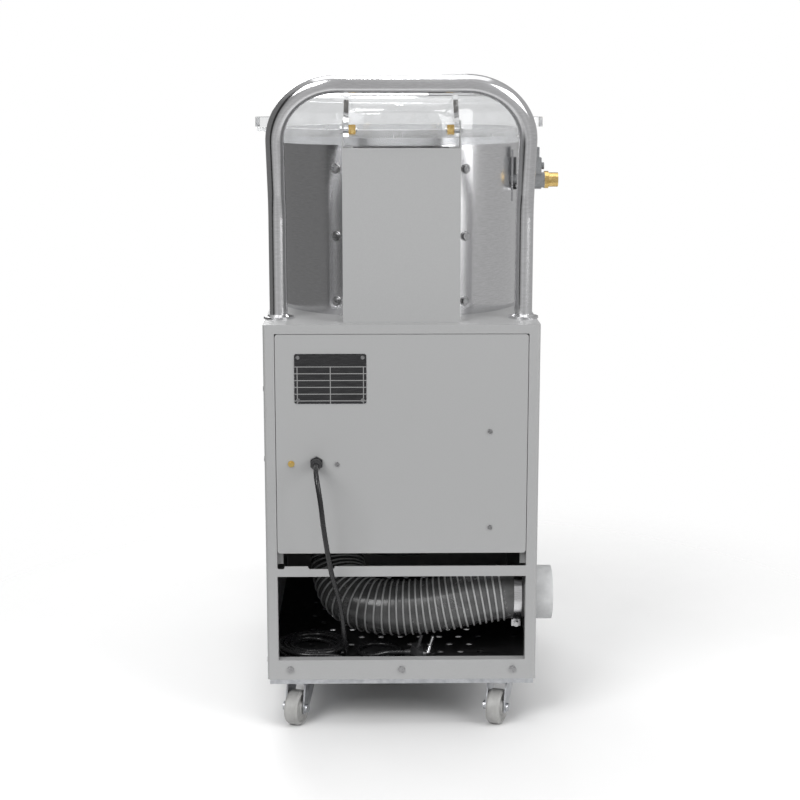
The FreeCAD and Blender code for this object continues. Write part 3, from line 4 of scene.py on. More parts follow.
import bpy
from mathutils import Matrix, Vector


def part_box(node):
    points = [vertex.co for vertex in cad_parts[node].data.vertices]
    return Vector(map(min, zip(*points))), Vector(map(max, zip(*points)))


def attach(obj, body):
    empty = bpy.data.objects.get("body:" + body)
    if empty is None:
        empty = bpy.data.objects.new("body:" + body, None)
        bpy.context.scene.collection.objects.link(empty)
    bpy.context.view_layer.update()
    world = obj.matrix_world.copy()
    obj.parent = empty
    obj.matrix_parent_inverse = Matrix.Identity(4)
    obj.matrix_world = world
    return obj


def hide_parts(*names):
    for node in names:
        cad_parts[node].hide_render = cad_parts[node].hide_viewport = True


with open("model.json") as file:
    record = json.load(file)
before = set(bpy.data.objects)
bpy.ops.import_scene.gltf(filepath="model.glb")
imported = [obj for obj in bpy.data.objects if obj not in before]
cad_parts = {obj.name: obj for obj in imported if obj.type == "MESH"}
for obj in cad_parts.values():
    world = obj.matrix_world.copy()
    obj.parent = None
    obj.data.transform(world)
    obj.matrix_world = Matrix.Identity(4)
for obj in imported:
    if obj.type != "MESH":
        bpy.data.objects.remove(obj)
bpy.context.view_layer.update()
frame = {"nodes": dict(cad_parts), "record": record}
shaftLow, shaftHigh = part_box("main_shaft")
drumX = (shaftLow.x + shaftHigh.x) / 2
drumY = (shaftLow.y + shaftHigh.y) / 2
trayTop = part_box("base_tray")[1].z
slotOf = {part["node"]: part["material_slot"] for part in frame["record"]["subparts"]}
print("frame loaded")


def at(x, y, z):  # millimetres from the drum's axis and the floor, as the part's drawing counts them
    return Vector((drumX + x / 1000, drumY + y / 1000, z / 1000))


def node(tree, kind, inputs=None, **settings):  # one shader or geometry node with its values
    made = tree.nodes.new(kind)
    for key, value in settings.items():
        setattr(made, key, value)
    for key, value in (inputs or {}).items():
        if hasattr(value, "is_output"):
            tree.links.new(value, made.inputs[key])
        else:
            made.inputs[key].default_value = value
    return made


def objectPlace(tree, stretch=(1, 1, 1), shift=(0, 0, 0)):
    coords = node(tree, "ShaderNodeTexCoord")
    mapping = node(tree, "ShaderNodeMapping", {"Vector": coords.outputs["Object"]})
    mapping.inputs["Scale"].default_value = stretch
    mapping.inputs["Location"].default_value = shift
    return mapping.outputs["Vector"]


def twoTone(tree, factor, dark, light, start=0.3, end=0.7):
    ramp = node(tree, "ShaderNodeValToRGB", {"Fac": factor})
    ramp.color_ramp.elements[0].position = start
    ramp.color_ramp.elements[1].position = end
    ramp.color_ramp.elements[0].color = (*dark, 1)
    ramp.color_ramp.elements[1].color = (*light, 1)
    return ramp.outputs["Color"]


def spread(tree, factor, low, high):  # stretches a noise value to a range
    made = node(tree, "ShaderNodeMapRange", {"Value": factor, "From Min": 0.3, "From Max": 0.7,
                                             "To Min": low, "To Max": high})
    return made.outputs["Result"]


def objectParts(tree):  # the shaded point's own x, y and z
    coords = node(tree, "ShaderNodeTexCoord")
    return node(tree, "ShaderNodeSeparateXYZ", {"Vector": coords.outputs["Object"]})


def tintOver(tree, factor, colour):  # lays a colour over the base colour where the factor is 1
    base = tree.nodes["Principled BSDF"].inputs["Base Color"]
    mixed = node(tree, "ShaderNodeMix", data_type="RGBA")
    tree.links.new(factor, mixed.inputs["Factor"])
    tree.links.new(base.links[0].from_socket, mixed.inputs[6])
    mixed.inputs[7].default_value = (*colour, 1)
    tree.links.new(mixed.outputs[2], base)


def makeLook(name, dark, light, metal=0.0, rough=(0.3, 0.4), scale=60.0, stretch=(1, 1, 1), bump=0.05,
             depth=0.0004, glass=0.0, ior=1.45, coat=0.0, streaks=0.0):
    material = bpy.data.materials.new(name)
    material.use_nodes = True
    tree = material.node_tree
    shader = tree.nodes["Principled BSDF"]
    noise = node(tree, "ShaderNodeTexNoise", {"Vector": objectPlace(tree, stretch), "Scale": scale,
                                              "Detail": 6.0, "Roughness": 0.6})
    value = noise.outputs["Fac"]
    tree.links.new(twoTone(tree, value, dark, light), shader.inputs["Base Color"])
    tree.links.new(spread(tree, value, *rough), shader.inputs["Roughness"])
    relief = node(tree, "ShaderNodeBump", {"Height": value, "Strength": bump, "Distance": depth})
    if streaks:  # broad soft smears over the fine grain
        smear = node(tree, "ShaderNodeTexNoise", {"Vector": objectPlace(tree, (1, 1, 0.35)), "Scale": 9.0,
                                                  "Detail": 3.0})
        wider = spread(tree, smear.outputs["Fac"], rough[0], rough[1] + streaks)
        tree.links.new(wider, shader.inputs["Roughness"])
    tree.links.new(relief.outputs["Normal"], shader.inputs["Normal"])
    shader.inputs["Metallic"].default_value = metal
    shader.inputs["IOR"].default_value = ior
    shader.inputs["Transmission Weight"].default_value = glass
    shader.inputs["Coat Weight"].default_value = coat
    return material


lookSettings = {
    "grey_paint": dict(dark=(0.322, 0.324, 0.326), light=(0.342, 0.344, 0.346), rough=(0.42, 0.52),
                       scale=700.0, bump=0.06, depth=0.0002),
    "polished_steel": dict(dark=(0.60, 0.60, 0.61), light=(0.72, 0.72, 0.73), metal=1.0,
                           rough=(0.10, 0.16), scale=90.0, stretch=(1, 1, 14), bump=0.02,
                           depth=0.0001, streaks=0.08),
    "galvanised_steel": dict(dark=(0.36, 0.37, 0.39), light=(0.55, 0.56, 0.58), metal=1.0,
                             rough=(0.28, 0.45), scale=120.0, bump=0.08),
    "clear_plastic": dict(dark=(0.81, 0.815, 0.82), light=(0.86, 0.865, 0.87), rough=(0.01, 0.03),
                          scale=30.0, bump=0.01, glass=1.0, ior=1.49),
    "milky_plastic": dict(dark=(0.88, 0.89, 0.90), light=(0.96, 0.97, 0.98), rough=(0.18, 0.28),
                          scale=40.0, bump=0.02, glass=0.75, ior=1.47),
    "abrasive": dict(dark=(0.05, 0.045, 0.04), light=(0.26, 0.23, 0.20), rough=(0.8, 0.95),
                     scale=420.0, bump=0.9, depth=0.0012),
    "cast_alloy": dict(dark=(0.06, 0.055, 0.05), light=(0.30, 0.27, 0.24), rough=(0.7, 0.9),
                       scale=380.0, bump=0.8, depth=0.0012),
    "dark_iron": dict(dark=(0.03, 0.03, 0.035), light=(0.09, 0.09, 0.095), metal=0.8, rough=(0.4, 0.6),
                      scale=160.0, bump=0.3),
    "motor_paint": dict(dark=(0.04, 0.055, 0.08), light=(0.07, 0.09, 0.12), rough=(0.35, 0.5),
                        scale=200.0, bump=0.12),
    "black_rubber": dict(dark=(0.012, 0.012, 0.013), light=(0.035, 0.035, 0.037), rough=(0.6, 0.8),
                         scale=220.0, bump=0.2),
    "white_hose": dict(dark=(0.72, 0.73, 0.74), light=(0.86, 0.87, 0.88), rough=(0.25, 0.4),
                       scale=80.0, bump=0.05),
    "grey_plastic": dict(dark=(0.16, 0.165, 0.17), light=(0.22, 0.225, 0.23), rough=(0.4, 0.55),
                         scale=300.0, bump=0.1, depth=0.0002),
    "black_plastic": dict(dark=(0.012, 0.012, 0.013), light=(0.03, 0.03, 0.032), rough=(0.3, 0.45),
                          scale=260.0, bump=0.1, depth=0.0002),
    "brass": dict(dark=(0.62, 0.42, 0.14), light=(0.82, 0.60, 0.26), metal=1.0, rough=(0.18, 0.34),
                  scale=140.0, bump=0.06),
    "green_plastic": dict(dark=(0.01, 0.22, 0.06), light=(0.02, 0.34, 0.09), rough=(0.22, 0.3),
                          scale=90.0, bump=0.03, coat=0.3),
    "red_plastic": dict(dark=(0.45, 0.01, 0.01), light=(0.62, 0.02, 0.02), rough=(0.22, 0.3),
                        scale=90.0, bump=0.03, coat=0.3),
    "lamp_amber": dict(dark=(0.85, 0.32, 0.03), light=(0.95, 0.45, 0.08), rough=(0.1, 0.2),
                       scale=90.0, bump=0.03, glass=0.5),
    "white_nylon": dict(dark=(0.25, 0.248, 0.242), light=(0.35, 0.348, 0.34), rough=(0.35, 0.5),
                        scale=60.0, bump=0.05),
    "pale_plastic": dict(dark=(0.44, 0.445, 0.45), light=(0.55, 0.555, 0.56), rough=(0.32, 0.46),
                         scale=70.0, bump=0.05),
    "black_cord": dict(dark=(0.008, 0.008, 0.009), light=(0.018, 0.018, 0.019), rough=(0.2, 0.32),
                       scale=240.0, bump=0.01, depth=0.0001),
}
looks = {name: makeLook(name, **settings) for name, settings in lookSettings.items()}


# Finishes that follow the form of one piece
plateSettings = {
    "columns": 2,
    "rows": 5,
    "margin": 0.004,
    "header": 0.014,
    "line": 0.0006,
    "lineColour": (0.5, 0.5, 0.5),
}
splitSettings = {
    "earthScrew": 0.014,
    "plugPins": 0.0185,
    "hingeCover": 0.081,
    "brass": (0.72, 0.52, 0.18),
    "steel": (0.66, 0.66, 0.67),
}


def makePlateLook():  # dark polished plate with an engraved blank table
    low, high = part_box("nameplate")
    margin, line = plateSettings["margin"], plateSettings["line"]
    tableTop = high.z - margin - plateSettings["header"]
    width = (high.x - low.x - 2 * margin) / plateSettings["columns"]
    height = (tableTop - low.z - margin) / plateSettings["rows"]
    material = makeLook("dark_plate", (0.045, 0.045, 0.047), (0.075, 0.075, 0.078), metal=0.9,
                        rough=(0.2, 0.3), scale=90.0, stretch=(1, 1, 12), bump=0.03)
    tree = material.node_tree
    parts = objectParts(tree)
    flat = node(tree, "ShaderNodeCombineXYZ", {"X": parts.outputs["X"], "Y": parts.outputs["Z"]})
    moved = node(tree, "ShaderNodeMapping", {"Vector": flat.outputs["Vector"],
                                             "Location": (-low.x - margin, -low.z - margin, 0)})
    grid = node(tree, "ShaderNodeTexBrick", {"Vector": moved.outputs["Vector"], "Scale": 1.0,
                                             "Mortar Size": line, "Brick Width": width,
                                             "Row Height": height, "Color1": (0, 0, 0, 1),
                                             "Color2": (0, 0, 0, 1), "Mortar": (1, 1, 1, 1)}, offset=0.0)
    below = node(tree, "ShaderNodeMath", {0: parts.outputs["Z"], 1: tableTop + line},
                 operation="LESS_THAN")
    lines = node(tree, "ShaderNodeMath", {0: grid.outputs["Fac"], 1: below.outputs[0]},
                 operation="MULTIPLY")
    tintOver(tree, lines.outputs[0], plateSettings["lineColour"])
    return material


def makeSplitLook(name, base, place, reach, within, metal, rough):  # bare metal by distance from one x
    material = makeLook(name, **base)
    tree = material.node_tree
    shader = tree.nodes["Principled BSDF"]
    parts = objectParts(tree)
    away = node(tree, "ShaderNodeMath", {0: parts.outputs["X"], 1: place}, operation="SUBTRACT")
    distance = node(tree, "ShaderNodeMath", {0: away.outputs[0]}, operation="ABSOLUTE")
    side = node(tree, "ShaderNodeMath", {0: distance.outputs[0], 1: reach},
                operation="LESS_THAN" if within else "GREATER_THAN")
    tintOver(tree, side.outputs[0], metal)
    smooth = node(tree, "ShaderNodeMix", {"Factor": side.outputs[0]}, data_type="FLOAT")
    tree.links.new(shader.inputs["Roughness"].links[0].from_socket, smooth.inputs[2])
    smooth.inputs[3].default_value = rough
    tree.links.new(smooth.outputs[0], shader.inputs["Roughness"])
    tree.links.new(side.outputs[0], shader.inputs["Metallic"])
    return material


looks["dark_plate"] = makePlateLook()
blackPart = dict(lookSettings["black_plastic"], rough=(0.3, 0.42))
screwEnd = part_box("cable_gland_and_earth")[1].x
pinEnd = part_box("power_plug")[0].x
looks["gland_and_earth"] = makeSplitLook("gland_and_earth", blackPart, screwEnd,
                                         splitSettings["earthScrew"], True, splitSettings["brass"], 0.3)
looks["plug"] = makeSplitLook("plug", blackPart, pinEnd, splitSettings["plugPins"], True,
                              splitSettings["steel"], 0.25)
looks["hinge_cover"] = makeSplitLook("hinge_cover", lookSettings["grey_paint"], drumX,
                                     splitSettings["hingeCover"], False, splitSettings["steel"], 0.26)
looks["screws"] = makeLook("screws", (0.26, 0.26, 0.265), (0.40, 0.40, 0.405), metal=1.0,
                           rough=(0.22, 0.36), scale=260.0, bump=0.2)
# painted shade: the tray's colour is darkened to near-black to stand for the shade inside the compartment
looks["tray"] = makeLook("tray", (0.012, 0.012, 0.013), (0.05, 0.05, 0.052), metal=0.5,
                         rough=(0.35, 0.6), scale=90.0, bump=0.1)
ownLook = {"cable_gland_and_earth": "gland_and_earth", "power_plug": "plug", "base_tray": "tray",
           "hinge_box": "hinge_cover", "fixings": "screws"}

for name, thing in frame["nodes"].items():
    thing.data.materials.clear()
    thing.data.materials.append(looks[ownLook.get(name, slotOf[name])])
print("materials made")


def plainMesh(source, name, body, material, stoodFor=()):  # evaluated copy, then no modifiers
    graph = bpy.context.evaluated_depsgraph_get()
    mesh = bpy.data.meshes.new_from_object(source.evaluated_get(graph))
    made = bpy.data.objects.new(name, mesh)
    bpy.context.collection.objects.link(made)
    if not mesh.materials:
        mesh.materials.append(material)
    bpy.data.objects.remove(source)
    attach(made, body)
    if stoodFor:
        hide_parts(*stoodFor)
    return made


def withNodes(source, group, values):  # puts a geometry node group on an object with its inputs
    modifier = source.modifiers.new(group.name, "NODES")
    modifier.node_group = group
    for item in group.interface.items_tree:
        if item.item_type == "SOCKET" and item.in_out == "INPUT" and item.name in values:
            modifier[item.identifier] = values[item.name]


def startGroup(name, inputs):
    group = bpy.data.node_groups.new(name, "GeometryNodeTree")
    group.interface.new_socket("Geometry", in_out="INPUT", socket_type="NodeSocketGeometry")
    for label, kind, default in inputs:
        socket = group.interface.new_socket(label, in_out="INPUT", socket_type=kind)
        if default is not None:
            socket.default_value = default
    group.interface.new_socket("Geometry", in_out="OUTPUT", socket_type="NodeSocketGeometry")
    entry = group.nodes.new("NodeGroupInput")
    leave = group.nodes.new("NodeGroupOutput")
    return group, entry, leave


def curveObject(name, points, order=3):
    curve = bpy.data.curves.new(name, "CURVE")
    curve.dimensions = "3D"
    spline = curve.splines.new("NURBS")
    spline.points.add(len(points) - 1)
    for place, point in zip(spline.points, points):
        place.co = (*point, 1)
    spline.order_u = order
    spline.use_endpoint_u = True
    curve.resolution_u = 8
    thing = bpy.data.objects.new(name, curve)
    bpy.context.collection.objects.link(thing)
    return thing


# Floor tray with its staggered rows of drain holes
traySettings = {
    "holeRadius": 0.0048,
    "pitchX": 0.029,
    "pitchY": 0.0335,
    "columns": 9,
    "rows": 14,
    "firstRow": -222.5,
}


def makeTrayGroup():
    group, entry, leave = startGroup("trayHoles", [
        ("Hole Radius", "NodeSocketFloat", traySettings["holeRadius"]),
        ("Pitch X", "NodeSocketFloat", traySettings["pitchX"]),
        ("Pitch Y", "NodeSocketFloat", traySettings["pitchY"]),
        ("Columns", "NodeSocketInt", traySettings["columns"]),
        ("Rows", "NodeSocketInt", traySettings["rows"]),
        ("Centre", "NodeSocketVector", None),
        ("Material", "NodeSocketMaterial", None)])
    spanX = node(group, "ShaderNodeMath", {0: entry.outputs["Columns"], 1: 1.0}, operation="SUBTRACT")
    spanY = node(group, "ShaderNodeMath", {0: entry.outputs["Rows"], 1: 1.0}, operation="SUBTRACT")
    sizeX = node(group, "ShaderNodeMath", {0: spanX.outputs[0], 1: entry.outputs["Pitch X"]},
                 operation="MULTIPLY")
    sizeY = node(group, "ShaderNodeMath", {0: spanY.outputs[0], 1: entry.outputs["Pitch Y"]},
                 operation="MULTIPLY")
    grid = node(group, "GeometryNodeMeshGrid", {"Size X": sizeX.outputs[0], "Size Y": sizeY.outputs[0],
                                                "Vertices X": entry.outputs["Columns"],
                                                "Vertices Y": entry.outputs["Rows"]})
    place = node(group, "GeometryNodeInputPosition")
    parts = node(group, "ShaderNodeSeparateXYZ", {"Vector": place.outputs[0]})
    fromEnd = node(group, "ShaderNodeMath", {0: sizeY.outputs[0], 1: 0.5, 2: parts.outputs["Y"]},
                   operation="MULTIPLY_ADD")
    row = node(group, "ShaderNodeMath", {0: fromEnd.outputs[0], 1: entry.outputs["Pitch Y"]},
               operation="DIVIDE")
    whole = node(group, "ShaderNodeMath", {0: row.outputs[0]}, operation="ROUND")
    odd = node(group, "ShaderNodeMath", {0: whole.outputs[0], 1: 2.0}, operation="MODULO")
    half = node(group, "ShaderNodeMath", {0: odd.outputs[0], 1: entry.outputs["Pitch X"]},
                operation="MULTIPLY")
    step = node(group, "ShaderNodeMath", {0: half.outputs[0], 1: 0.5}, operation="MULTIPLY")
    offset = node(group, "ShaderNodeCombineXYZ", {"X": step.outputs[0]})
    staggered = node(group, "GeometryNodeSetPosition", {"Geometry": grid.outputs["Mesh"],
                                                        "Offset": offset.outputs[0]})
    drill = node(group, "GeometryNodeMeshCylinder", {"Vertices": 20, "Depth": 0.01,
                                                     "Radius": entry.outputs["Hole Radius"]})
    drills = node(group, "GeometryNodeInstanceOnPoints", {"Points": staggered.outputs[0],
                                                          "Instance": drill.outputs["Mesh"]})
    real = node(group, "GeometryNodeRealizeInstances", {0: drills.outputs[0]})
    moved = node(group, "GeometryNodeTransform", {"Geometry": real.outputs[0],
                                                  "Translation": entry.outputs["Centre"]})
    cut = node(group, "GeometryNodeMeshBoolean", {"Mesh 1": entry.outputs["Geometry"]},
               operation="DIFFERENCE")
    group.links.new(moved.outputs[0], cut.inputs["Mesh 2"])
    painted = node(group, "GeometryNodeSetMaterial", {"Geometry": cut.outputs[0],
                                                      "Material": entry.outputs["Material"]})
    group.links.new(painted.outputs[0], leave.inputs[0])
    return group


def makeTray():
    blank = bpy.data.objects.new("trayBlank", frame["nodes"]["base_tray"].data.copy())
    bpy.context.collection.objects.link(blank)
    middle = traySettings["firstRow"] + 500 * traySettings["pitchY"] * (traySettings["rows"] - 1)
    centre = at(0, middle, 1000 * trayTop)
    withNodes(blank, makeTrayGroup(), {"Centre": centre, "Material": looks["tray"]})
    plainMesh(blank, "perforatedTray", "machine", looks["tray"],
              ["base_tray"])


makeTray()
print("tray made")


# Drain hose: thin clear wall with pale ribs standing on it
hoseSettings = {
    "wallRadius": 0.0382,
    "wall": 0.0012,
    "ribRadius": 0.0392,
    "ribWire": 0.0014,
    "pitch": 0.0092,
    "plainStart": 0.042,
    "plainEnd": 0.030,
    "innerEnd": -185.5,
    # painted shade on the hose: where its colour starts and stops darkening, and the least share of
    # colour kept
    "paintedShadeFrom": -0.185,
    "paintedShadeTo": 0.08,
    "paintedShadeLeast": 0.3,
}


def hosePoints():  # the centre line of the part's drawing
    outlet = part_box("outlet_pipe")
    middleY = (outlet[0].y + outlet[1].y) / 2 * 1000 - drumY * 1000
    middleZ = (outlet[0].z + outlet[1].z) / 2 * 1000
    inner = hoseSettings["innerEnd"]
    route = [(inner, middleY, middleZ), (inner + 13, middleY, middleZ), (inner + 26, middleY, middleZ),
             (inner + 38, middleY, middleZ - 0.6), (-112, middleY, 178), (-70, middleY, 168),
             (-22, middleY - 3, 160), (28, middleY - 7, 158), (62, middleY - 20, 162),
             (84, middleY - 44, 172), (93, middleY - 74, 197), (95, 96, 238), (95, 88, 288),
             (95, 88, 330), (95, 88, 345), (95, 88, 360)]
    return [at(*point) for point in route]


def makeRibGroup():
    group, entry, leave = startGroup("hoseRibs", [
        ("Pitch", "NodeSocketFloat", hoseSettings["pitch"]),
        ("Rib Radius", "NodeSocketFloat", hoseSettings["ribRadius"]),
        ("Rib Wire", "NodeSocketFloat", hoseSettings["ribWire"]),
        ("Plain Start", "NodeSocketFloat", hoseSettings["plainStart"]),
        ("Plain End", "NodeSocketFloat", hoseSettings["plainEnd"]),
        ("Material", "NodeSocketMaterial", None)])
    length = node(group, "GeometryNodeCurveLength", {0: entry.outputs["Geometry"]})
    last = node(group, "ShaderNodeMath", {0: length.outputs[0], 1: entry.outputs["Plain End"]},
                operation="SUBTRACT")
    trimmed = node(group, "GeometryNodeTrimCurve", {"Curve": entry.outputs["Geometry"]}, mode="LENGTH")
    group.links.new(entry.outputs["Plain Start"], trimmed.inputs[4])
    group.links.new(last.outputs[0], trimmed.inputs[5])
    spaced = node(group, "GeometryNodeResampleCurve", {"Curve": trimmed.outputs[0],
                                                       "Length": entry.outputs["Pitch"]}, mode="LENGTH")
    ring = node(group, "GeometryNodeCurvePrimitiveCircle", {"Resolution": 64,
                                                            "Radius": entry.outputs["Rib Radius"]})
    wire = node(group, "GeometryNodeCurvePrimitiveCircle", {"Resolution": 10,
                                                            "Radius": entry.outputs["Rib Wire"]})
    rib = node(group, "GeometryNodeCurveToMesh", {"Curve": ring.outputs[0],
                                                  "Profile Curve": wire.outputs[0]})
    tangent = node(group, "GeometryNodeInputTangent")
    turn = node(group, "FunctionNodeAlignRotationToVector", {"Vector": tangent.outputs[0]}, axis="Z")
    ribs = node(group, "GeometryNodeInstanceOnPoints", {"Points": spaced.outputs[0],
                                                        "Instance": rib.outputs[0],
                                                        "Rotation": turn.outputs[0]})
    real = node(group, "GeometryNodeRealizeInstances", {0: ribs.outputs[0]})
    smooth = node(group, "GeometryNodeSetShadeSmooth", {"Geometry": real.outputs[0]})
    painted = node(group, "GeometryNodeSetMaterial", {"Geometry": smooth.outputs[0],
                                                      "Material": entry.outputs["Material"]})
    group.links.new(painted.outputs[0], leave.inputs[0])
    return group


def paintShadeAcross(material):  # painted shade: the hose's colour darkens along x, away from the outlet towards the closed end of the compartment
    tree = material.node_tree
    base = tree.nodes["Principled BSDF"].inputs["Base Color"]
    parts = objectParts(tree)
    share = node(tree, "ShaderNodeMapRange", {"Value": parts.outputs["X"],
                                              "From Min": drumX + hoseSettings["paintedShadeFrom"],
                                              "From Max": drumX + hoseSettings["paintedShadeTo"],
                                              "To Min": 1.0, "To Max": hoseSettings["paintedShadeLeast"]})
    shaded = node(tree, "ShaderNodeVectorMath", {0: base.links[0].from_socket,
                                                 "Scale": share.outputs["Result"]}, operation="SCALE")
    tree.links.new(shaded.outputs[0], base)


def makeHose():
    wallLook = makeLook("hose_wall", (0.12, 0.121, 0.122), (0.19, 0.191, 0.192), rough=(0.12, 0.3),
                        scale=60.0, bump=0.05, glass=0.3, ior=1.4)
    ribLook = makeLook("hose_rib", (0.36, 0.362, 0.365), (0.50, 0.503, 0.506), rough=(0.3, 0.42),
                       scale=80.0, bump=0.05)
    # painted shade: wall and ribs darken away from the outlet
    paintShadeAcross(wallLook)
    paintShadeAcross(ribLook)
    ribLine = curveObject("hoseRibLine", hosePoints(), 4)
    withNodes(ribLine, makeRibGroup(), {"Material": ribLook})
    plainMesh(ribLine, "hoseRibs", "machine", ribLook)
    wallLine = curveObject("hoseWallLine", hosePoints(), 4)
    wallLine.data.bevel_depth = hoseSettings["wallRadius"]
    wallLine.data.bevel_resolution = 14
    wallLine.data.materials.append(wallLook)
    wall = plainMesh(wallLine, "hoseWall", "machine", wallLook, ["drain_hose"])
    thicken = wall.modifiers.new("wall", "SOLIDIFY")
    thicken.thickness = hoseSettings["wall"]
    for face in wall.data.polygons:
        face.use_smooth = True


makeHose()
print("hose made")


# Power cord: gland, hanging run, two-layer coil, loose loop, plug
cordSettings = {
    "diameter": 0.007,
    "coilX": 128.0,
    "coilY": 172.0,
    "coilRadius": 48.0,
    "coilPitch": 8.0,
    "halfTurns": 4,
    "pointsPerHalf": 10,
}


def coilPoints():  # spirals in, climbs half a turn and spirals out, each half turn about its own centre
    s = cordSettings
    low = 1000 * trayTop + 500 * s["diameter"]
    steps = s["pointsPerHalf"]
    ease = 1 / math.cos(math.pi / steps / 2)  # control points lie outside the curve
    x = s["coilX"] - s["coilRadius"]
    radii = [s["coilRadius"] - s["coilPitch"] / 2 * k for k in range(s["halfTurns"])]
    radii += [radii[-1] - s["coilPitch"] / 2] + radii[::-1]
    points = []
    for count, radius in enumerate(radii):
        sign = 1 if count % 2 == 0 else -1
        centre = x + sign * radius
        climbing = count == s["halfTurns"]
        layer = 0 if count <= s["halfTurns"] else 1
        for step in range(steps):
            angle = math.pi * (step + 0.5) / steps
            height = low + s["coilPitch"] * (layer + (1 - math.cos(angle)) / 2 * climbing)
            points.append(at(centre - sign * radius * ease * math.cos(angle),
                             s["coilY"] - sign * radius * ease * math.sin(angle), height))
        x = centre + sign * radius
    radius = radii[-1] + s["coilPitch"] / 2
    centre = x - radius
    for step in range(steps // 2):
        angle = math.pi * (step + 0.5) / steps
        points.append(at(centre + radius * ease * math.cos(angle),
                         s["coilY"] + radius * ease * math.sin(angle), low + s["coilPitch"]))
    return points


def cordPoints():
    low = 1000 * trayTop + 500 * cordSettings["diameter"]
    hanging = [(118, 272.4, 390.5), (118, 293, 390.5), (115.5, 309, 377), (111, 313, 350),
               (107.5, 306, 312), (102, 292, 268), (96.5, 274, 230), (89, 256, 198), (84, 243, 164),
               (82, 233, 135), (80.5, 218, 109), (80, 198, low), (80, 176, low)]
    tail = [(97, 224, low + 8), (77, 230, low + 2), (56, 233, low), (34, 230, low), (15, 219.5, low),
            (3, 202, low), (1, 182, low), (10, 163, low), (28, 152, low), (48, 154, low),
            (62, 168, low), (64, 187, low), (54, 203, low), (37, 211.5, low + 3),
            (22, 214.5, low + 8), (9, 215, low + 8.5), (-5, 215, low + 8.5)]
    return [at(*p) for p in hanging] + coilPoints() + [at(*p) for p in tail]


def runLength(thing):  # measured on a fine copy of the curve
    graph = bpy.context.evaluated_depsgraph_get()
    mesh = bpy.data.meshes.new_from_object(thing.evaluated_get(graph))
    total = sum((mesh.vertices[e.vertices[0]].co - mesh.vertices[e.vertices[1]].co).length
                for e in mesh.edges)
    bpy.data.meshes.remove(mesh)
    return total


def makeCord():
    points = cordPoints()
    cord = curveObject("powerCord", points)
    length = runLength(cord)
    cord.data.bevel_depth = cordSettings["diameter"] / 2
    cord.data.bevel_resolution = 5
    cord.data.use_fill_caps = True
    cord.data.materials.append(looks["black_cord"])
    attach(cord, "machine")
    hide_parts("power_cord", "cord_coil", "cord_tail")
    print("cord length", round(length, 3))


makeCord()


# Studio: pale floor, white surroundings, soft lights and the camera of the photo
studioSettings = {
    "lamps": [("key", (1.6, 2.6, 2.2), 66.0, 1.6), ("fill", (-2.2, 1.8, 1.5), 39.0, 1.8),
              ("top", (0.0, 0.2, 3.0), 20.0, 2.4), ("rim", (0.6, -2.6, 2.0), 39.0, 1.6),
              ("spark", (0.01, 1.2, 2.7), 5.0, 0.2)],
    "lampAim": (0, 0, 0.55),
    "floorHalf": 9,
    "floorFade": (0.42, 1.05),
    "walls": [(0.0, 0.50), (0.15, 0.50), (0.20, 0.35), (0.35, 0.20), (0.545, 0.20), (0.558, 0.02),
              (0.602, 0.02), (0.62, 0.35), (0.70, 0.60), (0.75, 0.50), (0.85, 0.60), (0.90, 0.52),
              (1.0, 0.50)],
    "ceiling": 0.6,
    "ceilingFrom": 0.35,
    "ceilingTo": 0.9,
    "cameraPlace": (35.0, 2470.0, 907.5),
    "cameraAim": (-0.0144, -0.9817, -0.1898),
    "lens": 73.94,
}


def makeFloorLook():  # pale near the machine, fading out to the white backdrop
    material = makeLook("floor", (0.80, 0.80, 0.80), (0.82, 0.82, 0.82), rough=(0.5, 0.6), scale=3.0,
                        bump=0.0)
    tree = material.node_tree
    coords = node(tree, "ShaderNodeTexCoord")
    away = node(tree, "ShaderNodeVectorMath", {0: coords.outputs["Object"]}, operation="LENGTH")
    near, far = studioSettings["floorFade"]
    fade = node(tree, "ShaderNodeMapRange", {"Value": away.outputs["Value"], "From Min": near,
                                             "From Max": far}, interpolation_type="SMOOTHSTEP")
    clear = node(tree, "ShaderNodeBsdfTransparent")
    mixed = node(tree, "ShaderNodeMixShader", {0: fade.outputs["Result"],
                                               1: tree.nodes["Principled BSDF"].outputs[0],
                                               2: clear.outputs[0]})
    tree.links.new(mixed.outputs[0], tree.nodes["Material Output"].inputs["Surface"])
    return material


def makeFloor():
    half = studioSettings["floorHalf"]
    ground = bpy.data.meshes.new("floor")
    ground.from_pydata([(-half, -half, 0), (half, -half, 0), (half, half, 0), (-half, half, 0)], [],
                       [(0, 1, 2, 3)])
    floor = bpy.data.objects.new("floor", ground)
    bpy.context.collection.objects.link(floor)
    ground.materials.append(makeFloorLook())


def makeLamps():  # soft area lights, each turned to the middle of the machine
    for name, place, power, size in studioSettings["lamps"]:
        lamp = bpy.data.lights.new(name, "AREA")
        lamp.energy = power
        lamp.size = size
        thing = bpy.data.objects.new(name, lamp)
        bpy.context.collection.objects.link(thing)
        thing.location = place
        aim = Vector(studioSettings["lampAim"]) - thing.location
        thing.rotation_euler = aim.to_track_quat("-Z", "Y").to_euler()


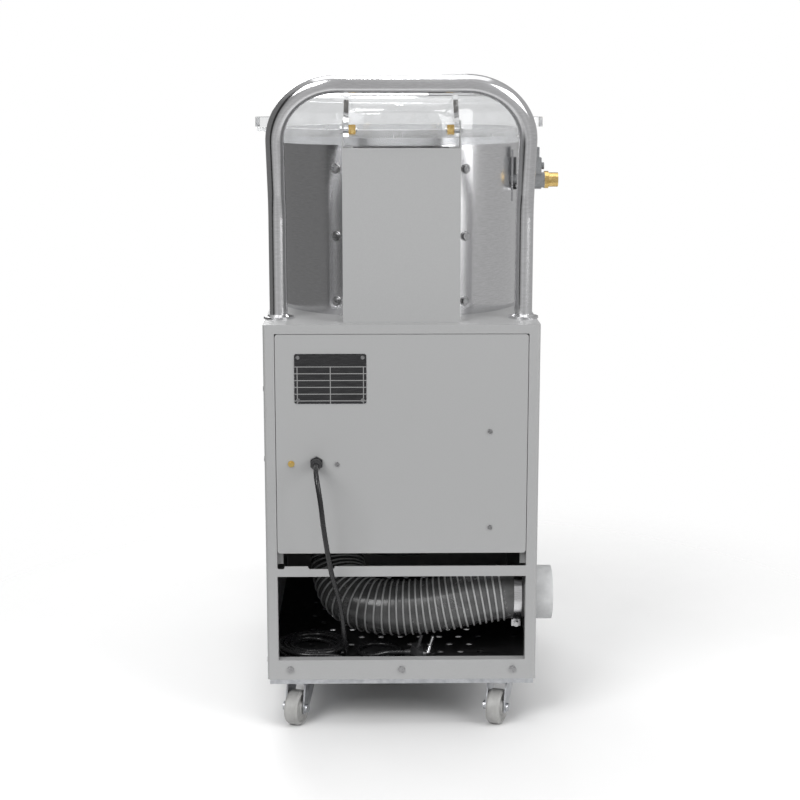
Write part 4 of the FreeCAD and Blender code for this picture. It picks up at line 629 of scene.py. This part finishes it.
def makeRoomShade(tree):  # grey walls of differing tone round the machine, and a ceiling over them
    coords = node(tree, "ShaderNodeTexCoord")
    around = node(tree, "ShaderNodeTexGradient", {"Vector": coords.outputs["Generated"]},
                  gradient_type="RADIAL")
    walls = node(tree, "ShaderNodeValToRGB", {"Fac": around.outputs["Fac"]})
    stops = walls.color_ramp.elements
    first, *between, last = studioSettings["walls"]
    for place, tone in between:
        stops.new(place).color = (tone, tone, tone, 1)
    for stop, (place, tone) in zip((stops[0], stops[-1]), (first, last)):
        stop.position = place
        stop.color = (tone, tone, tone, 1)
    parts = node(tree, "ShaderNodeSeparateXYZ", {"Vector": coords.outputs["Generated"]})
    upward = node(tree, "ShaderNodeMapRange", {"Value": parts.outputs["Z"],
                                               "From Min": studioSettings["ceilingFrom"],
                                               "From Max": studioSettings["ceilingTo"]})
    shade = node(tree, "ShaderNodeMix", data_type="RGBA")
    tree.links.new(upward.outputs["Result"], shade.inputs["Factor"])
    tree.links.new(walls.outputs["Color"], shade.inputs[6])
    shade.inputs[7].default_value = (*[studioSettings["ceiling"]] * 3, 1)
    return shade.outputs[2]


def makeWorld():  # the room lights and mirrors, the white backdrop is what the camera sees
    world = bpy.data.worlds.new("studio")
    bpy.context.scene.world = world
    world.use_nodes = True
    tree = world.node_tree
    tree.nodes.clear()
    path = node(tree, "ShaderNodeLightPath")
    seen = node(tree, "ShaderNodeMath", {0: path.outputs["Is Camera Ray"],
                                         1: path.outputs["Is Transmission Ray"]}, operation="MAXIMUM")
    backdrop = node(tree, "ShaderNodeBackground", {"Color": (1, 1, 1, 1)})
    room = node(tree, "ShaderNodeBackground", {"Color": makeRoomShade(tree)})
    chosen = node(tree, "ShaderNodeMixShader", {0: seen.outputs[0], 1: room.outputs[0],
                                                2: backdrop.outputs[0]})
    node(tree, "ShaderNodeOutputWorld", {"Surface": chosen.outputs[0]})


def makeCamera():
    camera = bpy.data.cameras.new("camera")
    camera.lens = studioSettings["lens"]
    camera.sensor_width = 36.0
    camera.clip_end = 30.0
    holder = bpy.data.objects.new("camera", camera)
    bpy.context.collection.objects.link(holder)
    holder.location = at(*studioSettings["cameraPlace"])
    holder.rotation_euler = Vector(studioSettings["cameraAim"]).to_track_quat("-Z", "Y").to_euler()
    scene = bpy.context.scene
    scene.camera = holder
    scene.render.resolution_x = 800
    scene.render.resolution_y = 800
    scene.view_settings.view_transform = "Standard"


makeFloor()
makeLamps()
makeWorld()
makeCamera()
print("studio made")
